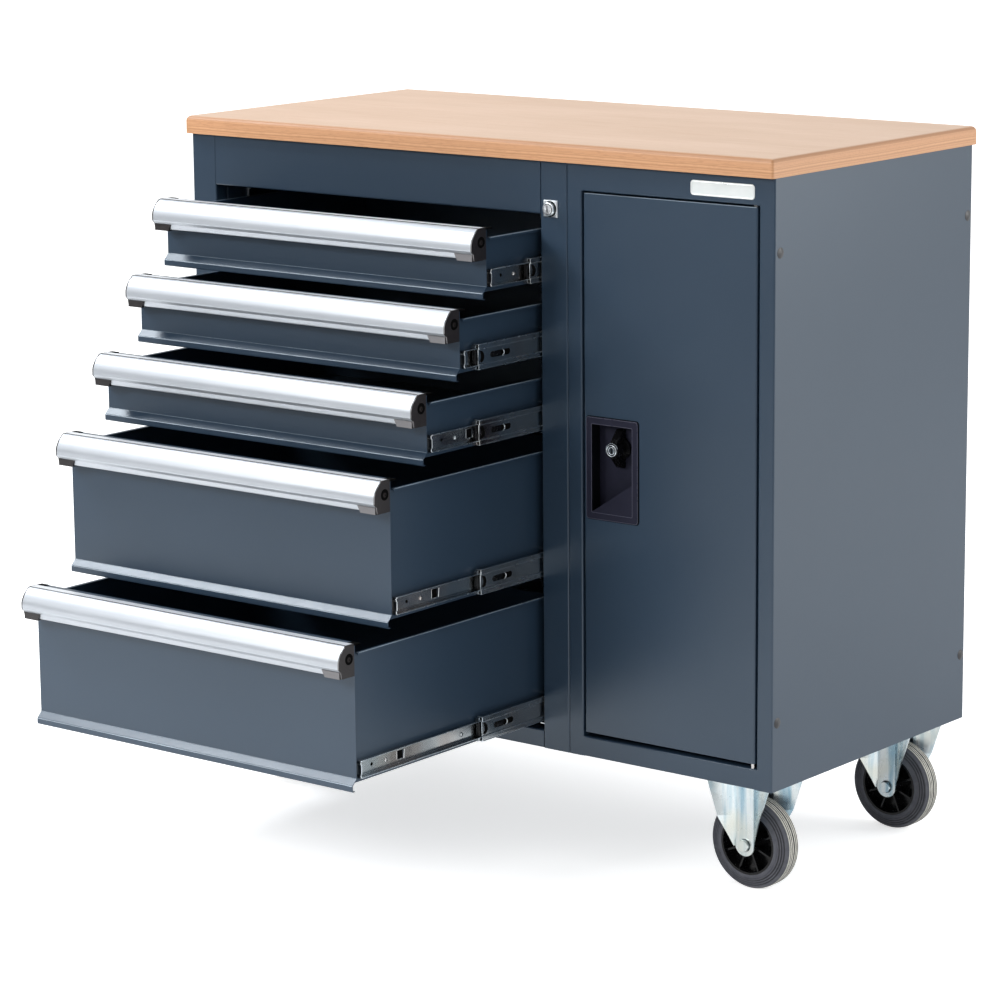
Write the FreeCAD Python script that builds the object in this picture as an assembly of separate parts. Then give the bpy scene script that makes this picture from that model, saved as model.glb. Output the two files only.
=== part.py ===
import FreeCAD, Part
import math
import os

# A rolling tool cabinet: five drawers on the left, a door on the right, a wooden worktop, four castors.
# X runs to the right, Y to the back and Z up. While it is built, x = 0 is the middle of the carcass,
# y = 0 its front and z = 0 the floor. The drawers stand open by REST_OPENING, as the cabinet is shown.

# Carcass
CARCASS_WIDTH = 1000.0
CARCASS_DEPTH = 476.0
CARCASS_HEIGHT = 803.0
DRAWER_MODULE_WIDTH = 670.0
SHEET = 1.2
BEND = 1.0
DRAWER_STILE = 44.0
DOOR_STILE_LEFT = 23.5
DOOR_STILE_RIGHT = 24.0
STILE_RETURN = 20.0
REAR_FLANGE = 15.0
TOP_FLANGE = 24.0
FASCIA_HEIGHT = 71.5
DRAWER_RAIL_HEIGHT = 25.0
DOOR_TOP_RAIL_HEIGHT = 36.5
DOOR_BOTTOM_RAIL_HEIGHT = 28.0
SEAM = 0.04

# Worktop
WORKTOP_THICKNESS = 25.0
WORKTOP_SIDE_OVERHANG = 3.0
WORKTOP_FRONT_OVERHANG = 10.0
WORKTOP_BACK_OVERHANG = 6.0
WORKTOP_EDGE_ROUND = 7.0
WORKTOP_CORNER_ROUND = 3.0
WORKTOP_SCREW_LENGTH = 16.0
WORKTOP_SCREW_RADIUS = 2.0
WORKTOP_SCREW_HEAD_RADIUS = 4.5
WORKTOP_SCREW_HEAD_HEIGHT = 2.5

# Black plugs in the side panels
PLUG_RADIUS = 6.0
PLUG_HEAD_RADIUS = 7.2
PLUG_HEAD_HEIGHT = 1.6
PLUG_DEPTH = 6.0
PLUG_LOW = 92.0
PLUG_BELOW_TOP = 96.0
PLUG_FROM_FRONT = 12.0
PLUG_FROM_BACK = 10.0
MODULE_BOLT_RADIUS = 3.0
MODULE_BOLT_HEAD_RADIUS = 6.0
MODULE_BOLT_HEAD_HEIGHT = 4.0

# Shelf in the door compartment
SHELF_HEIGHT = 395.0
SHELF_DEPTH = 410.0
SHELF_EDGE = 25.0
SHELF_CLEARANCE = 1.0
SHELF_CLIP_SIZE = 12.0

# Drawers
DRAWER_UNITS = (1, 1, 1, 2, 2)
DRAWER_STACK_PLAY = 3.0
LOWEST_FACE_ABOVE_RAIL = 18.2
REST_OPENING = (108.5, 165.7, 235.2, 310.3, 385.4)
REST_MID_OPENING = (34.0, 145.0, 145.0, 145.0, 145.0)
FRONT_GAP = 6.0
DRAWER_SHEET = 1.0
DRAWER_DEPTH = 420.0
FACE_SPACING = 24.0
FACE_RETURN = 12.0
LIP_OUT = 8.0
LIP_DROP = 8.0
LIP_HEIGHT = 8.5
LIP_RETURN = 4.5
SIDE_BELOW_FACE_TOP = 12.5
SIDE_BOTTOM = 8.0
SIDE_LIP_OUT = 4.5
SIDE_LIP_DROP = 3.5
SIDE_LIP_START = 10.0

# Drawer slides
SLIDE_SPACE = 12.7
SLIDE_HEIGHT = 45.0
SLIDE_LENGTH = 400.0
SLIDE_SHEET = 1.2
SLIDE_SET_BACK = 6.0
SLIDE_CENTRE = 11.0
SLIDE_RUNNING_GAP = 0.3
CABINET_MEMBER_REACH = 10.2
MID_HEIGHT = 34.4
MID_LENGTH = 360.0
MID_SET_BACK = 14.0
MID_REACH = 9.2
MID_STEP = 1.2
MID_STEP_HEIGHT = 19.0
INNER_HEIGHT = 23.6
INNER_REACH = 8.7
CAGE_FRONT = 6.0
CAGE_INNER_LENGTH = 130.0
CAGE_OUTER_LENGTH = 190.0
CAGE_WIDTH = 5.0
CAGE_INNER_OFFSET = 3.0
CAGE_OUTER_OFFSET = 2.0
MID_SLOT_START = 25.0
MID_SLOT_LENGTH = 42.0
MID_SLOT_HEIGHT = 8.0
PUNCH_START = 82.0
PUNCH_LENGTH = 13.0
PUNCH_HEIGHT = 12.0
INNER_HOLES = (31.0, 59.0, 215.0)
SLIDE_HOLE_RADIUS = 2.4
UPRIGHT_WIDTH = 42.0
UPRIGHT_FLANGE = 18.0
UPRIGHT_FRONT = 24.0
UPRIGHT_REAR = 400.0
UPRIGHT_ABOVE_NUTS = 1.0

# Grips: out from the drawer's face and up from its top
GRIP_WALL = 1.8
GRIP_CENTRE_LINE = (
    (0.9, -30.5), (0.9, 0.9), (15.3, 0.9), (23.8, -6.6), (29.6, -16.9),
    (29.6, -26.5), (25.4, -30.9), (23.6, -37.7), (19.6, -37.7), (19.6, -34.5),
)
GRIP_BENDS = (0.0, 0.4, 6.0, 28.0, 16.0, 0.8, 0.8, 0.6, 0.6, 0.0)
GRIP_GROOVE = 0.7
GRIP_GROOVE_SPOTS = ((14.8, 1.8), (25.6, -29.9))
CAP_THICKNESS = 2.0
CAP_FOOT_LENGTH = 25.0
CAP_FOOT_SLANT = 5.0
CAP_BOTTOM = -40.5
CAP_FOOT_TOP = -31.5
CAP_HOLE_RADIUS = 5.0
CAP_HOLE_SPOT = (8.5, -15.5)

# Door
DOOR_THICKNESS = 18.0
DOOR_INNER_RETURN = 8.0
DOOR_GAP_LEFT = 3.5
DOOR_GAP_RIGHT = 3.0
DOOR_GAP_TOP = 2.5
DOOR_GAP_BOTTOM = 6.5
HINGE_PIN_RADIUS = 2.5
HINGE_CLEARANCE = 0.08
HINGE_FROM_EDGE = 5.0
HINGE_FROM_FACE = 4.5
HINGE_PIN_REACH = 7.0
HINGE_COLLAR_RADIUS = 3.2
REST_GAP = 0.3

# Handle tray in the door
TRAY_WIDTH = 85.0
TRAY_HEIGHT = 138.0
TRAY_FROM_DOOR_EDGE = 4.4
TRAY_BOTTOM = 330.0
TRAY_RIM = 9.5
TRAY_RIM_THICKNESS = 2.2
TRAY_CORNER = 4.0
TRAY_DEPTH = 20.0
TRAY_WALL = 2.0
TRAY_UNDERCUT = 3.0
TRAY_SLOPE_RISE = 43.0
TRAY_CUTOUT_MARGIN = 3.5

# Turning knob, its key cylinder and the latch
KNOB_FROM_TRAY_SIDE = 44.0
KNOB_FROM_TRAY_BOTTOM = 96.0
KNOB_LENGTH = 51.0
KNOB_DISC_RADIUS = 15.0
KNOB_DISC_THICKNESS = 4.0
KNOB_BLADE_WIDTH = 11.0
KNOB_TIP_THICKNESS = 6.0
KNOB_CROWN_HALF = 9.0
KNOB_CROWN_FRONT = -1.0
KNOB_COLLAR_RADIUS = 10.2
KNOB_COLLAR_FRONT = -4.0
KNOB_SHAFT_RADIUS = 5.0
KEY_RADIUS = 8.0
KEY_DEPTH = 14.0
KEY_PROUD = 1.2
KEY_SLOT_WIDTH = 1.6
KEY_SLOT_LENGTH = 8.0
KEY_SLOT_DEPTH = 5.0
TURN_CLEARANCE = 0.05
LATCH_LENGTH = 58.0
LATCH_WIDTH = 18.0
LATCH_THICKNESS = 3.0

# Central lock of the drawers
LOCK_FROM_SPLIT = 26.0
LOCK_BELOW_TOP = 63.5
LOCK_PLATE = 23.0
LOCK_PLATE_THICKNESS = 3.0
LOCK_BARREL_RADIUS = 9.0
LOCK_FACE = 8.0
LOCK_BARREL_DEPTH = 16.0
LOCK_PLUG_RADIUS = 6.5
LOCK_TRAVEL = 8.0
LOCK_CAM_WIDTH = 8.0
LOCK_CAM_THICKNESS = 2.0
LOCK_PIN_RADIUS = 2.0
LOCK_SLOT_PLAY = 2.5
LOCK_BAR_WIDTH = 12.0
LOCK_BAR_THICKNESS = 2.2
LOCK_BAR_LOW_END = 120.0
LOCK_HEAD_HALF = 9.0
LOCK_HOOK_HEIGHT = 7.8
LOCK_HOOK_LIFT = 0.4
LOCK_HOOK_REACH = 4.0
LOCK_HOOK_PLAY = 0.6
GUIDE_WIDTH = 22.0
GUIDE_HEIGHT = 14.0
GUIDE_WALL = 1.5
GUIDE_FROM_END = 40.0

# Castors
CASTOR_HEIGHT = 155.0
CASTOR_FROM_SIDE = 69.0
CASTOR_FROM_END = 64.0
PLATE_LENGTH = 105.0
PLATE_WIDTH = 85.0
PLATE_THICKNESS = 3.0
PLATE_CORNER = 6.0
BOLT_SPACING_LONG = 80.0
BOLT_SPACING_SHORT = 40.0
BOLT_RADIUS = 4.0
BOLT_HEAD_RADIUS = 7.5
BOLT_HEAD_HEIGHT = 5.0
BOLT_LENGTH = 12.0
WHEEL_RADIUS = 62.5
WHEEL_WIDTH = 37.5
TYRE_SEAT_RADIUS = 42.0
# Flank of a tyre: how far below the tread and how far in from the side
TYRE_FLANK = ((16.0, 0.0), (7.0, 3.6), (2.0, 7.2), (0.0, 9.5))
TREAD_GROOVE = 0.8
RIM_WALL = 3.0
RIM_WEB = 4.0
RIM_RIBS = 8
RIM_RIB_THICKNESS = 2.5
HUB_RADIUS = 13.0
HUB_HALF_LENGTH = 22.0
AXLE_RADIUS = 6.0
AXLE_CLEARANCE = 0.08
AXLE_HEAD_RADIUS = 7.5
AXLE_HEAD_HEIGHT = 5.0
FORK_SHEET = 2.5
FORK_INNER_HALF = 22.3
# Section of a fork leg: drop below the top plate, half width of its web, half width and reach of its edges
FORK_SECTIONS = (
    (0.0, 13.5, 50.0, 17.0), (50.0, 14.0, 33.0, 17.0), (80.0, 14.2, 20.5, 6.5), (92.0, 14.2, 16.0, 2.6),
)
FORK_END_RADIUS = 15.0
SWIVEL_TRAIL = 38.0
SWIVEL_FORK_FRONT = 28.0
SWIVEL_FORK_SLOPE = 24.0
SWIVEL_RACE_RADIUS = 36.0
SWIVEL_RACE_HEIGHT = 7.0
SWIVEL_GAP = 0.3
KINGPIN_RADIUS = 6.0
KINGPIN_HEAD_RADIUS = 10.0
KINGPIN_HEAD_HEIGHT = 4.0
PEDAL_LENGTH = 34.0
PEDAL_WIDTH = 40.0
PEDAL_THICKNESS = 4.0
PEDAL_PIVOT_RADIUS = 3.0
PEDAL_ABOVE_WHEEL = 2.0

# Places worked out from the sizes above
LEFT = -CARCASS_WIDTH / 2
RIGHT = CARCASS_WIDTH / 2
SPLIT = LEFT + DRAWER_MODULE_WIDTH
BOTTOM = CASTOR_HEIGHT
TOP = BOTTOM + CARCASS_HEIGHT
BACK = CARCASS_DEPTH
BACK_INSIDE = BACK - SHEET
OPENING_LEFT = LEFT + DRAWER_STILE
OPENING_RIGHT = SPLIT - DRAWER_STILE
DRAWER_MIDDLE = (OPENING_LEFT + OPENING_RIGHT) / 2
BODY_HALF = (OPENING_RIGHT - OPENING_LEFT) / 2 - SLIDE_SPACE
FRONT_WIDTH = OPENING_RIGHT - OPENING_LEFT - 2 * FRONT_GAP
DRAWER_UNIT = (CARCASS_HEIGHT - FASCIA_HEIGHT - DRAWER_RAIL_HEIGHT - DRAWER_STACK_PLAY) / sum(DRAWER_UNITS)
FACE_HEIGHT = DRAWER_UNIT - FACE_SPACING
SIDE_TOP = FACE_HEIGHT - SIDE_BELOW_FACE_TOP
LOWEST_FACE_BOTTOM = BOTTOM + DRAWER_RAIL_HEIGHT + LOWEST_FACE_ABOVE_RAIL
DOORWAY_LEFT = SPLIT + DOOR_STILE_LEFT
DOORWAY_RIGHT = RIGHT - DOOR_STILE_RIGHT
DOOR_LEFT = DOORWAY_LEFT + DOOR_GAP_LEFT
DOOR_RIGHT = DOORWAY_RIGHT - DOOR_GAP_RIGHT
DOOR_BOTTOM = BOTTOM + DOOR_BOTTOM_RAIL_HEIGHT + DOOR_GAP_BOTTOM
DOOR_TOP = TOP - DOOR_TOP_RAIL_HEIGHT - DOOR_GAP_TOP
HINGE_X = DOOR_RIGHT - HINGE_FROM_EDGE
HINGE_Y = HINGE_FROM_FACE
TRAY_LEFT = DOOR_LEFT + TRAY_FROM_DOOR_EDGE
TRAY_LOW = BOTTOM + TRAY_BOTTOM
KNOB_X = TRAY_LEFT + KNOB_FROM_TRAY_SIDE
KNOB_Z = TRAY_LOW + KNOB_FROM_TRAY_BOTTOM
TRAY_FLOOR_BACK = TRAY_DEPTH + TRAY_WALL
LOCK_X = SPLIT - LOCK_FROM_SPLIT
LOCK_Z = TOP - LOCK_BELOW_TOP
AXLE_Z = WHEEL_RADIUS
GRIP_OUT = max(out for out, up in GRIP_CENTRE_LINE) + GRIP_WALL / 2
FARTHEST_FRONT = -max(REST_OPENING) - GRIP_OUT
FARTHEST_BACK = BACK + WORKTOP_BACK_OVERHANG
MIDDLE_OF_DEPTH = (FARTHEST_FRONT + FARTHEST_BACK) / 2
CASTOR_FRONT_Y = CASTOR_FROM_END
CASTOR_REAR_Y = BACK - CASTOR_FROM_END
RIGID_X = RIGHT - CASTOR_FROM_SIDE
SWIVEL_X = LEFT + CASTOR_FROM_SIDE


def point(x, y, z):
    return FreeCAD.Vector(x, y, z)


def box(x0, x1, y0, y1, z0, z1):
    return Part.makeBox(x1 - x0, y1 - y0, z1 - z0, point(x0, y0, z0))


def rod(start, axis, radius, length):
    """A cylinder from start along axis."""
    return Part.makeCylinder(radius, length, start, axis)


ALONG_X = point(1, 0, 0)
ALONG_Y = point(0, 1, 0)
ALONG_Z = point(0, 0, 1)


def unit(ax, ay, bx, by):
    length = math.hypot(bx - ax, by - ay)
    return (bx - ax) / length, (by - ay) / length


def rounded_face(corners, radii, place):
    """A face with the given 2-D corners, each rounded by its radius. place turns (u, v) into a point."""
    count = len(corners)
    edges = []
    last = None
    first = None
    for i in range(count):
        u, v = corners[i]
        radius = radii[i]
        if radius <= 0:
            start = end = (u, v)
            arc = None
        else:
            a = unit(u, v, *corners[i - 1])
            b = unit(u, v, *corners[(i + 1) % count])
            half = math.acos(max(-1.0, min(1.0, a[0] * b[0] + a[1] * b[1]))) / 2
            cut = radius / math.tan(half)
            start = (u + a[0] * cut, v + a[1] * cut)
            end = (u + b[0] * cut, v + b[1] * cut)
            middle = unit(0, 0, a[0] + b[0], a[1] + b[1])
            reach = radius / math.sin(half) - radius
            arc = (u + middle[0] * reach, v + middle[1] * reach)
        if last is not None:
            edges.append(Part.makeLine(place(*last), place(*start)))
        if arc is not None:
            edges.append(Part.Arc(place(*start), place(*arc), place(*end)).toShape())
        if first is None:
            first = start
        last = end
    edges.append(Part.makeLine(place(*last), place(*first)))
    return Part.Face(Part.Wire(edges))


def sheet_face(path, thickness, bends, place):
    """The section of a folded sheet: its centre line, its thickness and the inside radius of each bend."""
    normals = []
    for i in range(len(path) - 1):
        du, dv = unit(*path[i], *path[i + 1])
        normals.append((-dv, du))
    left, right, left_radii, right_radii = [], [], [], []
    for i, (u, v) in enumerate(path):
        before = normals[max(i - 1, 0)]
        after = normals[min(i, len(normals) - 1)]
        scale = thickness / 2 / (1 + before[0] * after[0] + before[1] * after[1])
        du, dv = (before[0] + after[0]) * scale, (before[1] + after[1]) * scale
        left.append((u + du, v + dv))
        right.append((u - du, v - dv))
        turn = before[0] * after[1] - before[1] * after[0]
        if i in (0, len(path) - 1) or bends[i] <= 0 or abs(turn) < 1e-9:
            left_radii.append(0.0)
            right_radii.append(0.0)
        else:
            left_radii.append(bends[i] if turn > 0 else bends[i] + thickness)
            right_radii.append(bends[i] + thickness if turn > 0 else bends[i])
    return rounded_face(left + right[::-1], left_radii + right_radii[::-1], place)


def fold(path, thickness, bend, place, along):
    """A folded sheet, extruded by the vector along. bend is one inside radius, or a list of them."""
    bends = bend if isinstance(bend, (list, tuple)) else [bend] * len(path)
    return sheet_face(path, thickness, bends, place).extrude(along)


def on_plan(z):
    return lambda u, v: point(u, v, z)


def on_side(x):
    return lambda u, v: point(x, u, v)


def on_front(y):
    return lambda u, v: point(u, y, v)


def mirrored(shape, x):
    return shape.mirror(point(x, 0, 0), ALONG_X)


def joined(shapes):
    whole = shapes[0].fuse(shapes[1:]) if len(shapes) > 1 else shapes[0]
    return whole.removeSplitter()


def rounded_box(x0, x1, y0, y1, z0, z1, radius):
    """A box with its four vertical edges rounded."""
    corners = [(x0, y0), (x1, y0), (x1, y1), (x0, y1)]
    return rounded_face(corners, [radius] * 4, on_plan(z0)).extrude(point(0, 0, z1 - z0))


def hexagon(centre, axis, radius, height):
    """A hexagonal prism with a bevelled end; radius is half the width across its flats."""
    side = ALONG_X if abs(axis.x) < 0.5 else ALONG_Y
    corner = radius / math.cos(math.pi / 6)
    points = []
    for i in range(7):
        turn = FreeCAD.Rotation(axis, 60.0 * i)
        points.append(centre + turn.multVec(side * corner))
    prism = Part.Face(Part.makePolygon(points)).extrude(axis * height)
    return prism.common(Part.makeCone(corner * 1.25, corner * 0.85, height, centre, axis))


# Worktop


def worktop():
    slab = box(
        LEFT - WORKTOP_SIDE_OVERHANG, RIGHT + WORKTOP_SIDE_OVERHANG,
        -WORKTOP_FRONT_OVERHANG, BACK + WORKTOP_BACK_OVERHANG,
        TOP, TOP + WORKTOP_THICKNESS,
    )
    upright = [e for e in slab.Edges if abs(e.tangentAt(e.FirstParameter).z) > 0.9]
    slab = slab.makeFillet(WORKTOP_CORNER_ROUND, upright)
    face = max(slab.Faces, key=lambda f: f.CenterOfMass.z)
    slab = slab.makeFillet(WORKTOP_EDGE_ROUND, face.Edges)
    for x, y in worktop_screw_places():
        hole = rod(point(x, y, TOP), ALONG_Z, WORKTOP_SCREW_RADIUS, WORKTOP_SCREW_LENGTH)
        slab = slab.cut(hole)
    return slab


def worktop_screw_places():
    inset = SHEET + TOP_FLANGE / 2
    lines = (LEFT + inset, SPLIT - inset, SPLIT + inset, RIGHT - inset)
    rows = (BACK * 0.2, BACK * 0.8)
    return [(x, y) for x in lines for y in rows]


def worktop_screws():
    screws = []
    for x, y in worktop_screw_places():
        under = TOP - SHEET
        shank = rod(point(x, y, under), ALONG_Z, WORKTOP_SCREW_RADIUS, SHEET + WORKTOP_SCREW_LENGTH)
        head = rod(
            point(x, y, under - WORKTOP_SCREW_HEAD_HEIGHT), ALONG_Z,
            WORKTOP_SCREW_HEAD_RADIUS, WORKTOP_SCREW_HEAD_HEIGHT,
        )
        screws.append(joined([shank, head]))
    return screws


# Carcass panels


def wall_panel(outside, inward, stile, plugged):
    """A side wall with its front stile and flanges. inward is +1 or -1 along x."""
    def across(distance):
        return outside + inward * distance
    half = SHEET / 2
    path = [
        (across(REAR_FLANGE), BACK - half), (across(half), BACK - half), (across(half), half),
        (across(stile - half), half), (across(stile - half), STILE_RETURN),
    ]
    height = point(0, 0, CARCASS_HEIGHT)
    panel = fold(path, SHEET, BEND, on_plan(BOTTOM), height)
    inner, edge = sorted((across(SHEET), across(SHEET + TOP_FLANGE)))
    flange = box(inner, edge, STILE_RETURN + SEAM, BACK_INSIDE - SHEET, TOP - SHEET, TOP)
    reach = sorted((across(half), across(SHEET)))
    rib = box(reach[0], reach[1], STILE_RETURN + SEAM, BACK_INSIDE - SHEET, TOP - SHEET, TOP)
    panel = joined([panel, rib, flange])
    for x, y in worktop_screw_places():
        if inner < x < edge:
            panel = panel.cut(rod(point(x, y, TOP - SHEET), ALONG_Z, WORKTOP_SCREW_RADIUS, SHEET))
    start = min(across(0), across(SHEET))
    for y, z in plug_places():
        radius = PLUG_RADIUS if plugged else MODULE_BOLT_RADIUS
        panel = panel.cut(rod(point(start, y, z), ALONG_X, radius, SHEET))
    return panel


def left_side_panel():
    return wall_panel(LEFT, 1, DRAWER_STILE, True)


def right_side_panel():
    return wall_panel(RIGHT, -1, DOOR_STILE_RIGHT, True)


def drawer_module_wall():
    wall = wall_panel(SPLIT, -1, DRAWER_STILE, False)
    return wall.cut(rod(point(LOCK_X, 0, LOCK_Z), ALONG_Y, LOCK_BARREL_RADIUS, SHEET))


def door_module_wall():
    return wall_panel(SPLIT, 1, DOOR_STILE_LEFT, False)


def rail(left, right, low, high, foot, foot_is_low):
    """A channel across the front, open to the back, with one deeper flange where foot_is_low says."""
    half = SHEET / 2
    low_reach = foot if foot_is_low else STILE_RETURN
    high_reach = STILE_RETURN if foot_is_low else foot
    path = [(low_reach, low + half), (half, low + half), (half, high - half), (high_reach, high - half)]
    return fold(path, SHEET, BEND, on_side(left + SEAM / 2), point(right - left - SEAM, 0, 0))


def front_rails():
    return [
        rail(OPENING_LEFT, OPENING_RIGHT, TOP - FASCIA_HEIGHT, TOP, STILE_RETURN, True),
        rail(OPENING_LEFT, OPENING_RIGHT, BOTTOM, BOTTOM + DRAWER_RAIL_HEIGHT, STILE_RETURN, True),
        rail(DOORWAY_LEFT, DOORWAY_RIGHT, TOP - DOOR_TOP_RAIL_HEIGHT, TOP, STILE_RETURN, True),
        rail(DOORWAY_LEFT, DOORWAY_RIGHT, BOTTOM, BOTTOM + DOOR_BOTTOM_RAIL_HEIGHT, STILE_RETURN, True),
    ]


def back_panels():
    panels = []
    inset = SHEET + BEND
    for left, right in ((LEFT, SPLIT), (SPLIT, RIGHT)):
        panels.append(box(
            left + inset, right - inset, BACK_INSIDE - SHEET, BACK_INSIDE, BOTTOM + SHEET, TOP - SHEET,
        ))
    return panels


def floor_panels():
    panels = []
    for left, right in ((LEFT, SPLIT), (SPLIT, RIGHT)):
        floor = box(
            left + SHEET, right - SHEET, STILE_RETURN + SEAM, BACK_INSIDE - BEND, BOTTOM, BOTTOM + SHEET,
        )
        for x, y in castor_bolt_places():
            floor = floor.cut(rod(point(x, y, BOTTOM), ALONG_Z, BOLT_RADIUS, SHEET))
        panels.append(floor)
    return panels


def slide_uprights():
    """Upright brackets that carry the slides, level with the edges of the drawer opening."""
    uprights = []
    half = SHEET / 2
    wall = LEFT + SHEET
    foot = BOTTOM + SHEET + BOLT_HEAD_HEIGHT + UPRIGHT_ABOVE_NUTS
    for start, forward in ((UPRIGHT_FRONT, 1), (UPRIGHT_REAR, -1)):
        path = [
            (wall + half, start + forward * UPRIGHT_FLANGE), (wall + half, start + forward * half),
            (OPENING_LEFT - half, start + forward * half),
            (OPENING_LEFT - half, start + forward * UPRIGHT_WIDTH),
        ]
        height = point(0, 0, TOP - SHEET - TOP_FLANGE - foot)
        upright = fold(path, SHEET, BEND, on_plan(foot), height)
        uprights.append(upright)
        uprights.append(mirrored(upright, (LEFT + SPLIT) / 2))
    return uprights + lock_bar_guides()


def lock_bar_guides():
    """Two straps on the front right upright, in which the lock bar slides."""
    guides = []
    lock_front, lock_back = lock_bar_layer()
    half = GUIDE_WIDTH / 2
    inside = LOCK_BAR_WIDTH / 2 + REST_GAP
    for z in (BOTTOM + LOCK_BAR_LOW_END + GUIDE_FROM_END, LOCK_Z - LOCK_HEAD_HALF - GUIDE_FROM_END):
        front = lock_front - REST_GAP - GUIDE_WALL
        strap = box(LOCK_X - half, LOCK_X + half, front, UPRIGHT_FRONT, z, z + GUIDE_HEIGHT)
        way = box(LOCK_X - inside, LOCK_X + inside, front + GUIDE_WALL, UPRIGHT_FRONT, z, z + GUIDE_HEIGHT)
        guides.append(strap.cut(way))
    return guides


def shelf():
    """The shelf, a tray turned down at its edges, and the four clips that carry it."""
    left = SPLIT + SHEET + SHELF_CLEARANCE
    right = RIGHT - SHEET - SHELF_CLEARANCE
    back = BACK_INSIDE - SHEET - SHELF_CLEARANCE
    front = back - SHELF_DEPTH
    level = BOTTOM + SHELF_HEIGHT
    half = SHEET / 2
    path = [
        (front + half, level - SHELF_EDGE), (front + half, level - half),
        (back - half, level - half), (back - half, level - SHELF_EDGE),
    ]
    pieces = [fold(path, SHEET, BEND, on_side(left), point(right - left, 0, 0))]
    for y in (front + 2 * SHELF_CLIP_SIZE, back - 3 * SHELF_CLIP_SIZE):
        for x0 in (SPLIT + SHEET, RIGHT - SHEET - SHELF_CLIP_SIZE):
            pieces.append(box(
                x0, x0 + SHELF_CLIP_SIZE, y, y + SHELF_CLIP_SIZE,
                level - SHEET - SHELF_CLIP_SIZE, level - SHEET,
            ))
    return pieces


def plug_places():
    return [
        (y, z)
        for y in (PLUG_FROM_FRONT, BACK - PLUG_FROM_BACK)
        for z in (BOTTOM + PLUG_LOW, TOP - PLUG_BELOW_TOP)
    ]


def side_plugs():
    plugs = []
    for y, z in plug_places():
        dome = Part.makeSphere(PLUG_HEAD_RADIUS * 2.6)
        cap_centre = PLUG_HEAD_HEIGHT - PLUG_HEAD_RADIUS * 2.6
        dome.translate(point(RIGHT + cap_centre, y, z))
        head = rod(point(RIGHT, y, z), ALONG_X, PLUG_HEAD_RADIUS, PLUG_HEAD_HEIGHT).common(dome)
        stem = rod(point(RIGHT - PLUG_DEPTH, y, z), ALONG_X, PLUG_RADIUS, PLUG_DEPTH)
        plug = joined([head, stem])
        plugs.append(plug)
        plugs.append(mirrored(plug, 0))
    return plugs


# Drawers


def face_bottom(index):
    """Height of the bottom of a drawer's flat face; index 0 is the top drawer."""
    below = sum(DRAWER_UNITS[index + 1:])
    return LOWEST_FACE_BOTTOM + below * DRAWER_UNIT


def extra_height(index):
    return (DRAWER_UNITS[index] - 1) * DRAWER_UNIT


def drawer_body(index):
    z = face_bottom(index)
    face = -REST_OPENING[index]
    half = DRAWER_SHEET / 2
    taller = extra_height(index)
    top = z + FACE_HEIGHT + taller
    front_path = [
        (face + FACE_RETURN, top - half), (face + half, top - half), (face + half, z),
        (face - LIP_OUT + half, z - LIP_DROP), (face - LIP_OUT + half, z - LIP_DROP - LIP_HEIGHT + half),
        (face - LIP_OUT + half + LIP_RETURN, z - LIP_DROP - LIP_HEIGHT + half),
    ]
    across = point(FRONT_WIDTH, 0, 0)
    left = DRAWER_MIDDLE - FRONT_WIDTH / 2
    front = fold(front_path, DRAWER_SHEET, [0, 1.0, 1.0, 1.0, 0.5, 0], on_side(left), across)

    side_top = z + SIDE_TOP + taller
    wall = BODY_HALF - half
    lip = wall + SIDE_LIP_OUT
    right_half = [(wall, z - SIDE_BOTTOM + half), (wall, side_top - half), (lip, side_top - half),
                  (lip, side_top - SIDE_LIP_DROP)]
    trough_path = [(DRAWER_MIDDLE - u, v) for u, v in right_half[::-1]]
    trough_path += [(DRAWER_MIDDLE + u, v) for u, v in right_half]
    start = face - LIP_OUT + DRAWER_SHEET
    length = face + DRAWER_DEPTH - start
    trough = fold(trough_path, DRAWER_SHEET, [0, 0.5, 0.5, 1.0, 1.0, 0.5, 0.5, 0],
                  on_front(start), point(0, length, 0))
    ahead = [
        (start - 1, side_top + 1), (face + half, side_top + 1), (face + half, z),
        (face - LIP_OUT + half, z - LIP_DROP), (start - 1, z - LIP_DROP),
    ]
    corners = [point(left, u, v) for u, v in ahead]
    trough = trough.cut(Part.Face(Part.makePolygon(corners + corners[:1])).extrude(across))
    for sign in (-1, 1):
        x0, x1 = sorted((DRAWER_MIDDLE + sign * BODY_HALF, DRAWER_MIDDLE + sign * (BODY_HALF + SIDE_LIP_OUT)))
        low = side_top - 2 * SIDE_LIP_DROP
        trough = trough.cut(box(x0, x1, start, face + SIDE_LIP_START, low, side_top))
    back = box(
        DRAWER_MIDDLE - BODY_HALF + half, DRAWER_MIDDLE + BODY_HALF - half,
        face + DRAWER_DEPTH - DRAWER_SHEET, face + DRAWER_DEPTH,
        z - SIDE_BOTTOM + half, side_top - 2 * DRAWER_SHEET,
    )
    return joined([front, trough, back])


def grip_place(index, x):
    face = -REST_OPENING[index]
    base = face_bottom(index) + extra_height(index) + FACE_HEIGHT
    return lambda out, up: point(x, face - out, base + up)


def foot_corners():
    """The region of a grip's lower lip that the end caps take over."""
    inner = min(out for out, up in GRIP_CENTRE_LINE[-2:]) - GRIP_WALL / 2
    outer = GRIP_CENTRE_LINE[6][0] + GRIP_WALL
    return inner, outer


def foot_cutter(index, end, inward):
    """The space of a cap's foot, from a grip's end inwards, with its slanted inner end."""
    inner, outer = foot_corners()
    face = -REST_OPENING[index]
    base = face_bottom(index) + extra_height(index) + FACE_HEIGHT
    low, high = base + CAP_BOTTOM, base + CAP_FOOT_TOP
    corners = [
        point(end, face - outer, low), point(end + inward * CAP_FOOT_LENGTH, face - outer, low),
        point(end + inward * (CAP_FOOT_LENGTH + CAP_FOOT_SLANT), face - outer, high),
        point(end, face - outer, high),
    ]
    return Part.Face(Part.makePolygon(corners + corners[:1])).extrude(point(0, outer - inner, 0))


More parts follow.
